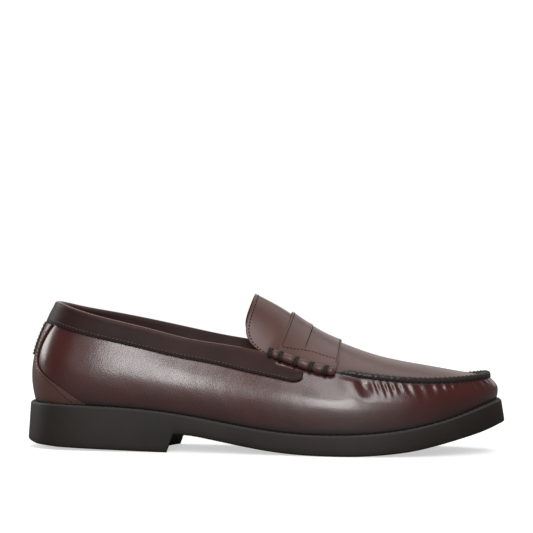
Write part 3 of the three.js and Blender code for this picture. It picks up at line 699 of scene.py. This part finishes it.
def sole_unit():
    columns = sole_columns()
    q = np.array([c[0] for c in columns])
    mark = np.array([c[1] for c in columns])
    heel = (mark == 0) | (mark == 2)
    groove = mark >= 2
    near_breast = 1 - smooth(np.abs(q - station_at(BREAST_X)), 0.15, 1.6)

    def side_point(side, inset, raise_top=None, raise_foot=None):
        u = side * (q + (BREAST_SKEW * near_breast if side < 0 else 0))
        outer = sole_edge(u)
        out = outwards(sole_edge, u)
        x = outer[:, 0]
        bottom = np.where(heel, underside(x, True), smooth_underside(x))
        top = outer[:, 2]
        z = top + raise_top if raise_top is not None else bottom + raise_foot
        share = np.clip((z - bottom) / np.maximum(top - bottom, 1), 0, 1)
        lean = sole_lean(u) * share
        point = outer - along(lean + inset, out)
        point[:, 2] = z
        return point

    def across_top(a):
        outer, inner = side_point(1, TOP_INSET, raise_top=0), side_point(-1, TOP_INSET, raise_top=0)
        return mix(outer, inner, np.full(len(q), (a + 1) / 2))

    def across_foot(a):
        outer, inner = side_point(1, FOOT_INSET, raise_foot=0), side_point(-1, FOOT_INSET, raise_foot=0)
        point = mix(outer, inner, np.full(len(q), (a + 1) / 2))
        point[:, 0] -= BREAST_BOW * (1 - a * a) * near_breast
        point[:, 2] += GROOVE_DEPTH * groove * (abs(a) < GROOVE_RIM)
        return point

    spread = [-0.9, -GROOVE_RIM - LINE_GAP, -GROOVE_RIM + LINE_GAP, *np.linspace(-0.75, 0.75, 7)]
    spread += [GROOVE_RIM - LINE_GAP, GROOVE_RIM + LINE_GAP, 0.9]
    rows = [across_top(a) for a in (0.0, 0.5)]
    rows += [side_point(-1, inset, raise_top=drop) for inset, drop in LIP]
    rows += [side_point(-1, inset, raise_foot=lift) for inset, lift in FOOT]
    rows += [across_foot(a) for a in reversed(spread)]
    rows += [side_point(1, inset, raise_foot=lift) for inset, lift in reversed(FOOT)]
    rows += [side_point(1, inset, raise_top=drop) for inset, drop in reversed(LIP)]
    rows += [across_top(a) for a in (-0.5, 0.0)]
    table = np.stack(rows, axis=1)
    # painted highlight along the rounded lip, one share per row
    lip_highlight = np.zeros(len(rows))
    for k, glint in enumerate(LIP_HIGHLIGHT):
        lip_highlight[2 + k] = glint
        lip_highlight[len(rows) - 3 - k] = glint

    def place(x, y):
        return table[nearest(x, len(columns)), nearest(y, len(rows))]

    def lip_highlight_share(x, y):
        return lip_highlight[nearest(y, len(rows))]

    bm = bent_grid(len(columns) - 1, len(rows) - 1, place, {"lip_highlight": lip_highlight_share}, weld=0.02)
    bmesh.ops.dissolve_degenerate(bm, edges=bm.edges, dist=0.00001)
    bmesh.ops.recalc_face_normals(bm, faces=bm.faces)
    return piece_from("sole_unit", bm, rubber, "sole_rubber", ["outsole"], flat_angle=38)


# ---------- vamp and quarter ----------
SEAM_PITCH = 3.4
SEAM_GAP = 0.004  # stations left on each side of a seam
BACK_GAP = 0.005  # and at the back seam
RIDGE = np.array([
    [0.0, 0.0], [0.35, 0.7], [0.55, 1.6], [0.35, 2.6], [-0.2, 3.3], [-0.9, 3.55], [-1.6, 3.3],
    [-2.1, 2.6], [-2.35, 1.6], [-2.4, 0.6], [-2.4, -0.8],
])


def quarter_seam(height):
    """Station of the seam down the inner side, which leans towards the heel at its foot."""
    return ROUND - 6.45 - 0.75 * height


def seam_length(u):
    stations = np.linspace(0, ROUND, 3000)
    points = top_line(stations)
    lengths = np.concatenate([[0], np.cumsum(np.linalg.norm(np.diff(points, axis=0), axis=1))])
    return np.interp(np.mod(u, ROUND), stations, lengths)


def gathers(u, height):
    """Depth in millimetres of the puckers that the apron seam draws into the vamp."""
    run = seam_length(u)
    phase = run / 6.3 + 0.35 * np.sin(run / 12.0) + 0.28 * np.sin(run / 7.3 + 1.3)
    fold = 0.5 - 0.5 * np.cos(2 * np.pi * phase)
    size = 0.8 + 0.45 * np.sin(run / 8.3 + 0.6) * np.cos(run / 13.0)
    reach = 0.50 + 0.13 * np.sin(run / 6.1 + 2.0) + 0.08 * np.sin(run / 3.3)
    fade = smooth(height, reach, 0.97) ** 1.2
    distance = from_heel(u)
    window = smooth(distance, 9.3, 10.0) * (1 - 0.8 * smooth(distance, 12.2, 13.8))
    held = 1 - 0.8 * smooth(height, 0.88, 1.0)
    puckers = 1.25 * (fold - 0.6) * size * fade * window
    flex = np.exp(-((distance - 9.58) / 0.15) ** 2) * 1.5 * smooth(height, 0.45, 0.85)
    swell = np.exp(-((distance - 9.2) / 0.28) ** 2) * 0.7 * smooth(height, 0.35, 0.8)
    return (puckers - flex + swell) * held


def upper_leather(name, start, end, columns, node):
    """The wall from one seam to the next, with the raised ridge that the apron is sewn to."""
    wall_rows, ridge_rows = 44, 16
    rows = wall_rows + ridge_rows

    def split(x, y):
        j = y * rows
        height = np.clip(j / wall_rows, 0, 1)
        u = start(height) + (end(height) - start(height)) * x
        ridge = np.clip((j - wall_rows) / ridge_rows, 0, 1)
        return u, height, ridge

    def place(x, y):
        u, height, ridge = split(x, y)
        skin = face(u, height, gathers(u, height))
        profile = lerp_table(RIDGE, ridge * (len(RIDGE) - 1))
        raised = smooth(from_heel(u), STRAP_FRONT - 0.1, STRAP_FRONT + 0.5)
        lump = 1 + 0.07 * np.sin(2 * np.pi * seam_length(u) / SEAM_PITCH) * (profile[:, 1] > 0.5)
        rim = outwards(top_line, u)
        rise = np.where(profile[:, 1] > 0, profile[:, 1] * (0.12 + 0.88 * raised), profile[:, 1])
        out = profile[:, 0] * np.where(profile[:, 0] > 0, raised, 1)
        return skin + along(out * lump, rim) + along(rise * lump, UP)

    def burnish(x, y):
        u, height, ridge = split(x, y)
        foot = 0.75 * (1 - smooth(height, 0.0, 0.10))
        seam = 0.55 * smooth(height, 0.93, 1.0) * smooth(from_heel(u), 8.5, 9.5)
        side = 0.35 * (1 - smooth(height, 0.1, 0.5)) * (1 - 0.6 * toe_part(u))
        return np.clip(foot + seam + side + (ridge > 0) * smooth(from_heel(u), 8.5, 9.2), 0, 1)

    finish = (vamp_burgundy, "burgundy_leather")
    return sheet(name, (columns, rows), place, burnish, finish, [node], 1.2)


def vamp():
    return upper_leather(
        "vamp_skin", lambda height: np.full_like(height, BACK_GAP),
        lambda height: quarter_seam(height) - SEAM_GAP, 760, "vamp",
    )


def inner_quarter():
    return upper_leather(
        "quarter_skin", lambda height: quarter_seam(height) + SEAM_GAP,
        lambda height: np.full_like(height, ROUND - BACK_GAP), 140, "inner_quarter",
    )


# ---------- apron and tongue ----------
def tongue_edge(across):
    return 6.22 - 0.03 * across ** 2 + 0.68 * np.abs(across) ** 12


def tongue_inset(q):
    return 2.2 + 3.6 * (1 - smooth(q, 6.9, 7.5))


def over_instep(name, rear, front, grid, inset, offset, finish, node, wall, rounding=0.0, burnish=None):
    def place(x, y):
        across = 2 * y - 1
        q = rear(across) + (front(across) - rear(across)) * x
        return apron(q, across, inset(q), offset(q, across))

    def shade(x, y):
        across = 2 * y - 1
        return burnish(rear(across) + (front(across) - rear(across)) * x, across)

    return sheet(name, grid, place, shade if burnish else None, finish, [node], wall, rounding)


def apron_skin():
    def surface(q, across):
        return -0.5 * smooth(q, 9.0, 10.0) * smooth(np.abs(across), 0.86, 1.0)

    def burnish(q, across):
        edge = 0.55 * smooth(np.abs(across), 0.8, 1.0) * smooth(q, 8.8, 9.4)
        return edge + 0.2 * smooth(q, 12.5, 15)

    return over_instep(
        "apron_skin", tongue_edge, lambda a: np.full_like(a, TOE - SEAM_GAP), (260, 90),
        tongue_inset, surface, (brown_burgundy, "burgundy_leather"), "apron", 1.4, 0.35, burnish,
    )


TONGUE_SINK = 1.6  # the tongue's lining lies this far inside and under its leather
TONGUE_BACK = 0.07  # stations behind the tongue's edge


def tongue_lining():
    return over_instep(
        "tongue_backing", lambda a: tongue_edge(a) + TONGUE_BACK, lambda a: np.full_like(a, STRAP_FRONT),
        (60, 50), lambda q: tongue_inset(q) + TONGUE_SINK, lambda q, a: np.full_like(q, -TONGUE_SINK),
        (tan_lining, "lining_leather"), "tongue_lining", 1.0,
    )


# ---------- saddle strap ----------
SLOT_HALF = 0.014  # stations
SLOT_OUTER, SLOT_INNER = -0.68, 0.42  # across
SLOT_AT = 7.86
STRAP_INSET = -0.2  # the strap's sides stand this far out of the top line


def strap_skin():
    q_lines = np.unique(np.concatenate([
        np.linspace(STRAP_REAR, SLOT_AT - SLOT_HALF, 26),
        [SLOT_AT - SLOT_HALF, SLOT_AT + SLOT_HALF],
        np.linspace(SLOT_AT + SLOT_HALF, STRAP_FRONT, 28),
    ]))
    a_lines = np.unique(np.concatenate([
        np.linspace(-1, SLOT_OUTER, 20),
        np.linspace(SLOT_OUTER, SLOT_INNER, 42),
        np.linspace(SLOT_INNER, 1, 28),
    ]))
    gap_column = int(np.searchsorted(q_lines, SLOT_AT - SLOT_HALF + 1e-6))

    def lines(x, y):
        return q_lines[nearest(x, len(q_lines))], a_lines[nearest(y, len(a_lines))]

    def place(x, y):
        q, across = lines(x, y)
        lip = 0.55 * bulge(q, SLOT_AT, 0.13) * (q < SLOT_AT) * smooth(0.85 - np.abs(across), 0, 0.2)
        return apron(q, across, STRAP_INSET, GAP + OVERLAY + lip)

    def burnish(x, y):
        q, across = lines(x, y)
        edges = np.minimum(q - STRAP_REAR, STRAP_FRONT - q)
        return np.clip(0.3 * (1 - smooth(edges, 0, 0.03)) + 0.5 * smooth(np.abs(across), 0.88, 1.0), 0, 1)

    bm = bent_grid(len(q_lines) - 1, len(a_lines) - 1, place, {"burnish": burnish})
    gap = []
    for bm_face in bm.faces:
        centre = np.mean([loop[bm.loops.layers.uv["surface"]].uv for loop in bm_face.loops], axis=0)
        column = int(centre[0] * (len(q_lines) - 1))
        across = np.interp(centre[1] * (len(a_lines) - 1), np.arange(len(a_lines)), a_lines)
        if column == gap_column - 1 and SLOT_OUTER < across < SLOT_INNER:
            gap.append(bm_face)
    bmesh.ops.delete(bm, geom=gap, context="FACES")
    piece = piece_from("strap_skin", bm, brown_burgundy, "trim_leather", ["saddle_strap"])
    return thicken(piece, 1.3, rounding=0.3)


def pinched(q, reach):
    """1 in the middle of each binding and 0 between them."""
    return np.max([bulge(q, station, reach) for station in BINDING_STATIONS], axis=0)


def roll_axis(q, side):
    top = top_line(side * q)
    away = unit(outwards(top_line, side * q) + along(0.3 + 0.75 * (1 - smooth(q, 7.0, 8.6)), UP))
    return top + away * (ROLL_RADIUS + 0.5), away


ROLL_START = 6.98  # station
ROLL_SQUASH = 1.05  # its width over its height
BINDING_STATIONS = np.array([7.08, 7.36, 7.80, 8.23, 8.64])
TURN_SPREAD = 0.026  # stations to each side of a binding's middle
TURN_RADIUS = 0.84 * ROLL_RADIUS + 0.55
TURN_TILT = 0.25
TWINE_RADIUS = 0.62


def rolled_end(name, side):
    """The strap's end, rolled up and pinched by its five bindings."""
    def place(x, y):
        q = ROLL_START + (STRAP_FRONT - ROLL_START) * x
        axis, away = roll_axis(q, side)
        ahead = unit(roll_axis(q + NUDGE, side)[0] - axis)
        across = unit(np.cross(ahead, away))
        ends = np.sqrt(np.clip(1 - (np.abs(2 * x - 1)) ** 14, 0, 1))
        radius = ROLL_RADIUS * (1.10 - 0.30 * pinched(q, 0.085)) * ends
        angle = 2 * np.pi * y
        wobble = 1 + 0.04 * np.sin(9 * q + 2 * angle)
        up = along(radius * wobble * np.cos(angle), away)
        return axis + up + along(radius * ROLL_SQUASH * np.sin(angle), across)

    def burnish(x, y):
        return 0.7 * pinched(ROLL_START + (STRAP_FRONT - ROLL_START) * x, 0.1)

    bm = bent_grid(150, 32, place, {"burnish": burnish}, weld=0.01)
    bmesh.ops.recalc_face_normals(bm, faces=bm.faces)
    return piece_from(name, bm, brown_burgundy, "trim_leather")


def add_turn(bm, q, side, tilt):
    """One closed turn of twine round the rolled end: a grid bent into a ring and welded."""
    axis, away = roll_axis(q, side)
    ahead = unit(roll_axis(q + NUDGE, side)[0] - axis)
    across = np.cross(ahead, away)
    verts = bmesh.ops.create_grid(bm, x_segments=28, y_segments=8, size=0.5)["verts"]
    flat = np.array([vert.co[:2] for vert in verts]) + 0.5
    around, thread = 2 * np.pi * flat.T
    spoke = along(np.cos(around), away) + along(ROLL_SQUASH * np.sin(around), across)
    ring = axis + TURN_RADIUS * spoke + along(TURN_TILT * np.sin(around + tilt), ahead)
    skin = ring + along(TWINE_RADIUS * np.cos(thread), unit(spoke))
    for vert, point in zip(verts, to_frame(skin + along(TWINE_RADIUS * np.sin(thread), ahead))):
        vert.co = point
    bmesh.ops.remove_doubles(bm, verts=verts, dist=0.00001)


def bindings(name, side):
    """Twine wound round the rolled end, two turns at each of its places."""
    bm = bmesh.new()
    for number, station in enumerate(BINDING_STATIONS):
        for shift in (-TURN_SPREAD, TURN_SPREAD):
            add_turn(bm, station + shift, side, number)
    bmesh.ops.recalc_face_normals(bm, faces=bm.faces)
    replaced = [f"{name}_{number + 1}" for number in range(len(BINDING_STATIONS))]
    return piece_from(name, bm, twine, "waxed_thread", replaced)


# ---------- collar band ----------
BAND_OUT = OVERLAY_GAP + OVERLAY  # the flap's outer face over the upper's
BAND_PUFF = 0.25  # and how much more it stands out in the middle and at the fold
BAND_IN = 4.6  # the turned-in edge lies this far inside the upper's outer face
TOP_GAP = 4.4  # in front of the fold the band starts this far under the top line


def collar_band():
    half = BAND_FRONT
    flap_rows, fold_rows, turn_rows = 22, 14, 12
    rows = flap_rows + fold_rows + turn_rows

    def place(x, y):
        u = -half + 2 * half * x
        distance = np.abs(u)
        j = y * rows
        flap = np.clip(j / flap_rows, 0, 1)
        fold = np.clip((j - flap_rows) / fold_rows, 0, 1)
        turn = np.clip((j - flap_rows - fold_rows) / turn_rows, 0, 1)
        folded = 1 - smooth(distance, 7.02, 7.22)
        tip = np.clip((distance - (half - 0.5)) / 0.5, 0, 1)
        top_gap = TOP_GAP * (1 - folded)
        low = top_gap + (band_width(u) - top_gap) * np.sqrt(np.clip(1 - tip ** 2.4, 0.0004, 1))
        down = low + (top_gap - low) * flap
        out = BAND_OUT + BAND_PUFF * (np.sin(np.pi * flap) + smooth(flap, 0.75, 1))
        outer = face(u, below_top(u, down), out)
        top = face(u, np.ones_like(u))
        normal = face_normal(u, np.ones_like(u))
        rising = unit(face_point(u, np.ones_like(u)) - face_point(u, np.full_like(u, 0.97)))
        angle = np.pi * fold
        half_width = (BAND_OUT + BAND_PUFF + BAND_IN) / 2
        centre = top + along(half_width - BAND_IN, normal)
        arc = centre + along(half_width * np.cos(angle), normal) + along(FOLD_RISE * np.sin(angle), rising)
        inner = face(u, below_top(u, TURN_IN * turn), -BAND_IN)
        over = np.where((turn > 0)[:, None], inner, arc)
        hidden = face(u, below_top(u, top_gap), out * (1 - 0.8 * fold) * (1 - turn))
        over = mix(hidden, over, folded)
        return np.where((fold > 0)[:, None], over, outer)

    def burnish(x, y):
        j = y * rows
        flap = np.clip(j / flap_rows, 0, 1)
        low = 0.35 * (1 - smooth(flap, 0.0, 0.25))
        # painted highlight: the fold's top gets the paler unburnished colour, with less roughness, standing
        # for the light along the rolled edge
        fold_highlight = 0.72 * bulge(j, flap_rows + 4, 3.5)
        return np.clip(0.78 + low - fold_highlight, 0, 1)

    finish = (band_leather, "trim_leather")
    return sheet("collar_fold", (420, rows), place, burnish, finish, ["collar_band"], 1.1, 0.25)


# ---------- heel ----------
PATCH_EDGE = Spline([[3.0], [2.53], [1.97], [1.12], [0.70], [0.68], [0.80], [1.05]])


PATCH_GAP = 0.25  # under the patch
PATCH_FOOT = 0.01  # share of the wall's height where it starts


def patch_top(u):
    return below_top(u, band_width(u) + 0.2)


def patch_point(s, t, offset):
    edge = PATCH_EDGE(t * 7)[..., 0]
    u = s * edge
    return face(u, PATCH_FOOT + (patch_top(u) - PATCH_FOOT) * t, offset)


def heel_patch():
    def place(x, y):
        s = 2 * x - 1
        return patch_point(s, y, PATCH_GAP + OVERLAY * (1 - 0.35 * np.abs(s) ** 10))

    def burnish(x, y):
        return np.clip(0.4 * (1 - smooth(y, 0, 0.12)) + 0.4 * smooth(np.abs(2 * x - 1), 0.92, 1), 0, 1)

    finish = (brown_burgundy, "trim_leather")
    return sheet("heel_patch_skin", (120, 70), place, burnish, finish, ["heel_patch"], 1.2, 0.3)


BACK_STRAP_HALF = 0.30
BACK_STRAP_LOW = 0.50
BACK_STRAP_OUT = 2.1
BACK_STRAP_FLARE = 0.12


def back_strap():
    def place(x, y):
        u = BACK_STRAP_HALF * (2 * x - 1) * (1 + BACK_STRAP_FLARE * y)
        height = BACK_STRAP_LOW + (patch_top(u) - BACK_STRAP_LOW) * y
        crown = 0.5 * (1 - (2 * x - 1) ** 2)
        ribs = 0.16 * np.sin(y * np.pi * 18)
        return face(u, height, BACK_STRAP_OUT + crown + ribs)

    def burnish(x, y):
        return np.full_like(x, 0.6)

    finish = (band_leather, "trim_leather")
    return sheet("back_strap_skin", (16, 90), place, burnish, finish, ["back_strap"], 1.0, 0.25)


# ---------- inside ----------
LINING_END = 7.5  # station on each side
SOCK_INSET = 6.4
SOCK_ENDS = (1.1, 13.1)  # stations
PAD = 3.0
PAD_THIN = 0.4
PAD_SKIVE = (68, 96)  # the heel pad thins between these x
BOARD = 2.0
SOCK = 1.2
BOARDS = LEATHER + BOARD + SOCK + 6 * GAP  # from the sole's top to the sock's face


def quarter_lining():
    def place(x, y):
        u = LINING_END * (2 * x - 1)
        height = 0.16 + 0.78 * y
        depth = LEATHER + OVERLAY_GAP + (STIFFENER + GAP) * (1 - smooth(height, 0.58, 0.86))
        return face(u, height, -depth)

    finish = (tan_lining, "lining_leather")
    return sheet("quarter_lining_skin", (200, 40), place, None, finish, ["quarter_lining"], LINING)


def sock():
    def place(x, y):
        q = SOCK_ENDS[0] + (SOCK_ENDS[1] - SOCK_ENDS[0]) * x
        outer, inner = sole_top(q, SOCK_INSET), sole_top(-q, SOCK_INSET)
        share = np.clip(np.sin(np.pi * np.clip(x * 12, 0, 0.5)), 0.8, 1)
        share = share * np.clip(np.sin(np.pi * np.clip((1 - x) * 8, 0, 0.5)), 0.4, 1)
        across = (2 * y - 1) * share
        point = mix(outer, inner, (across + 1) / 2)
        pad = np.maximum(PAD * (1 - smooth(point[:, 0], *PAD_SKIVE)), PAD_THIN)
        cup = 0.9 * across ** 4
        return point + along(BOARDS + pad + cup, UP)

    finish = (sock_leather, "lining_leather")
    return sheet("sock_skin", (160, 30), place, None, finish, ["sock_liner"], SOCK, 0.3)


# ---------- stitching ----------
def stitch_piece(name, rows, material, replaces=()):
    """Rows of stitches, each given as its run, pitch, length, width, slant in degrees and rise."""
    bm = bmesh.new()
    for row in rows:
        add_stitches(bm, *row)
    return piece_from(name, bm, material, "waxed_thread", replaces)


def apron_run(q, across, inset, offset):
    points = apron(q, across, inset, offset)
    normals = unit(apron(q, across, inset, offset + 1) - points)
    return points, normals


def face_run(u, height, offset):
    return face(u, height, offset), face_normal(u, height)


STRAP_ROW = 0.055  # stations from the strap's edges to its rows


def strap_stitches():
    over = GAP + OVERLAY
    rows = []
    across = np.linspace(-0.86, 0.86, 200)
    for q in (STRAP_REAR + STRAP_ROW, STRAP_FRONT - STRAP_ROW):
        rows.append((apron_run(np.full_like(across, q), across, STRAP_INSET, over), 2.3, 1.8, 0.7))
    q = np.linspace(STRAP_REAR + STRAP_ROW, STRAP_FRONT - STRAP_ROW, 80)
    edge = 0.875 - 0.095 * smooth(q, 7.2, 8.2)
    for side in (-1, 1):
        rows.append((apron_run(q, side * edge, STRAP_INSET, over), 2.3, 1.8, 0.7))
    return stitch_piece("strap_stitches", rows, dark_thread)


def tongue_stitches():
    across = np.sin(np.linspace(-1.42, 1.42, 400))
    q = tongue_edge(across) + 0.075
    run = apron_run(q, across, tongue_inset(q), 0.0)
    return stitch_piece("tongue_stitches", [(run, 2.3, 1.7, 0.85)], dark_thread)


def band_stitches():
    u = np.linspace(-BAND_FRONT + 0.35, BAND_FRONT - 0.35, 900)
    run = face_run(u, below_top(u, band_width(u) - 1.7), BAND_OUT + 0.1)
    return stitch_piece("band_stitches", [(run, 2.4, 1.9, 0.45)], pale_thread)


def heel_stitches():
    t = np.linspace(0.02, 0.93, 260)
    rows = []
    for side in (-1, 1):
        s = np.full_like(t, side * 0.9)
        points = patch_point(s, t, PATCH_GAP + OVERLAY)
        normals = unit(patch_point(s, t, PATCH_GAP + OVERLAY + 1) - points)
        rows.append(((points, normals), 2.3, 1.8, 0.42))
    return stitch_piece("heel_stitches", rows, dark_thread)


def back_strap_stitches():
    y = np.linspace(0.03, 0.97, 80)
    rows = []
    for side in (-1, 1):
        u = side * BACK_STRAP_HALF * (1 + BACK_STRAP_FLARE * y)
        height = BACK_STRAP_LOW + (patch_top(u) - BACK_STRAP_LOW) * y
        rows.append((face_run(u, height, BACK_STRAP_OUT), 1.7, 2.2, 0.7, 70))
    return stitch_piece("back_strap_stitches", rows, dark_thread)


def apron_seam():
    u = np.linspace(STRAP_FRONT + 0.12, ROUND - STRAP_FRONT - 0.12, 1400)
    points = face(u, np.ones_like(u), 0.55) + along(np.full_like(u, 0.25), UP)
    normals = unit(outwards(top_line, u) + 0.45 * UP)
    row = ((points, normals), SEAM_PITCH, 3.0, 1.0, 14, 0.1)
    return stitch_piece("apron_seam_stitches", [row], dark_thread, ["apron_seam_thread"])


def sole_seam():
    u = np.linspace(0.05, ROUND - 0.05, 3000)
    points = sole_top(u, LEDGE / 2 - 0.2) + along(np.full_like(u, 0.1), UP)
    normals = np.broadcast_to(UP, points.shape)
    row = ((points, normals), 4.6, 3.4, 0.7)
    return stitch_piece("sole_stitches", [row], dark_thread, ["sole_seam_thread"])


sole_unit()
vamp()
inner_quarter()
apron_skin()
tongue_lining()
strap_skin()
for label, side in (("outer", 1), ("inner", -1)):
    rolled_end(f"{label}_rolled_end", side)
    bindings(f"{label}_binding", side)
collar_band()
heel_patch()
back_strap()
quarter_lining()
sock()
strap_stitches()
tongue_stitches()
band_stitches()
heel_stitches()
back_strap_stitches()
apron_seam()
sole_seam()

NODE_FINISHES = {
    "insole_board": board_finish, "heel_counter": board_finish, "bottom_filler": cork_finish,
    "shank": steel_finish, "heel_pad": foam_finish, "toe_puff": plastic_finish, "vamp_lining": tan_lining,
}
for node, material in NODE_FINISHES.items():
    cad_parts[node].data.materials.clear()
    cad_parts[node].data.materials.append(material)


# ---------- floor, light and camera ----------
LIT_POINT = Vector((0, 0, 0.05))
SOFTBOXES = [  # name, place, width and height in metres, and watts
    ("key_softbox", (-0.13, -2.1, 0.66), 0.66, 0.6, 22),
    ("forefoot_softbox", (0.22, -1.6, 1.5), 1.0, 1.0, 24),
    ("fill_softbox", (-0.2, -2.6, 1.1), 3.2, 1.6, 11),
    ("heel_softbox", (-1.7, 0.9, 0.8), 1.0, 1.0, 20),
    ("top_softbox", (0.0, 0.5, 1.5), 2.0, 1.5, 15),
    ("back_softbox", (0.3, 2.2, 0.9), 3.0, 1.0, 8),
]
FLOOR_RADIUS = 1.1  # metres
CAMERA_DISTANCE = 1.80
CAMERA_RISE = 0.107
VIEW_WIDTH = 0.3345  # of the plane that the shoe stands in
SENSOR = 36


def metres(x, y, z):
    return Vector(to_frame(np.array([x, y, z])))


def stage_floor():
    bm = bmesh.new()
    bmesh.ops.create_circle(bm, cap_ends=True, segments=96, radius=FLOOR_RADIUS)
    mesh = bpy.data.meshes.new("floor")
    bm.to_mesh(mesh)
    bm.free()
    floor = bpy.data.objects.new("floor", mesh)
    bpy.context.scene.collection.objects.link(floor)
    material, nodes, links, shader = new_material("pale_floor")
    shader.inputs["Roughness"].default_value = 0.9
    shader.inputs["Specular IOR Level"].default_value = 0.1
    path = nodes.new("ShaderNodeLightPath")
    tone = ramp(nodes, [(0.0, (0.2, 0.2, 0.2)), (1.0, (0.6, 0.6, 0.6))])
    links.new(path.outputs["Is Camera Ray"], tone.inputs["Fac"])
    links.new(tone.outputs["Color"], shader.inputs["Base Color"])
    glow = math_node(nodes, links, "MULTIPLY", path.outputs["Is Camera Ray"], 0.55)
    links.new(glow, shader.inputs["Emission Strength"])
    shader.inputs["Emission Color"].default_value = (1, 1, 1, 1)
    floor.data.materials.append(material)


def softbox(name, place, width, height, power):
    light = bpy.data.lights.new(name, "AREA")
    light.shape = "RECTANGLE"
    light.size = width
    light.size_y = height
    light.energy = power
    lamp = bpy.data.objects.new(name, light)
    bpy.context.scene.collection.objects.link(lamp)
    lamp.location = place
    lamp.rotation_euler = (LIT_POINT - Vector(place)).to_track_quat("-Z", "Y").to_euler()


def studio():
    world = bpy.data.worlds.new("studio")
    world.use_nodes = True
    nodes, links = world.node_tree.nodes, world.node_tree.links
    dim = nodes["Background"]
    dim.inputs["Color"].default_value = (1, 1, 1, 1)
    dim.inputs["Strength"].default_value = 0.2
    backdrop = nodes.new("ShaderNodeBackground")
    backdrop.inputs["Color"].default_value = (1, 1, 1, 1)
    backdrop.inputs["Strength"].default_value = 1.0
    path = nodes.new("ShaderNodeLightPath")
    choose = nodes.new("ShaderNodeMixShader")
    links.new(path.outputs["Is Camera Ray"], choose.inputs["Fac"])
    links.new(dim.outputs["Background"], choose.inputs[1])
    links.new(backdrop.outputs["Background"], choose.inputs[2])
    links.new(choose.outputs["Shader"], nodes["World Output"].inputs["Surface"])
    bpy.context.scene.world = world
    for name, place, width, height, power in SOFTBOXES:
        softbox(name, place, width, height, power)


def camera():
    data = bpy.data.cameras.new("camera")
    lens_object = bpy.data.objects.new("camera", data)
    bpy.context.scene.collection.objects.link(lens_object)
    aim = metres(149.2, 0, 45)
    lens_object.location = aim + Vector((0, -CAMERA_DISTANCE, CAMERA_RISE))
    turn = (aim - lens_object.location).to_track_quat("-Z", "Y").to_matrix().to_4x4()
    roll = Matrix.Rotation(math.radians(0.8), 4, "Z")
    lens_object.rotation_euler = (turn @ roll).to_euler()
    data.sensor_width = SENSOR
    data.lens = SENSOR * CAMERA_DISTANCE / VIEW_WIDTH
    data.shift_y = 0.2084
    bpy.context.scene.camera = lens_object


stage_floor()
studio()
camera()
bpy.context.scene.view_settings.view_transform = "Standard"

bpy.context.view_layer.update()
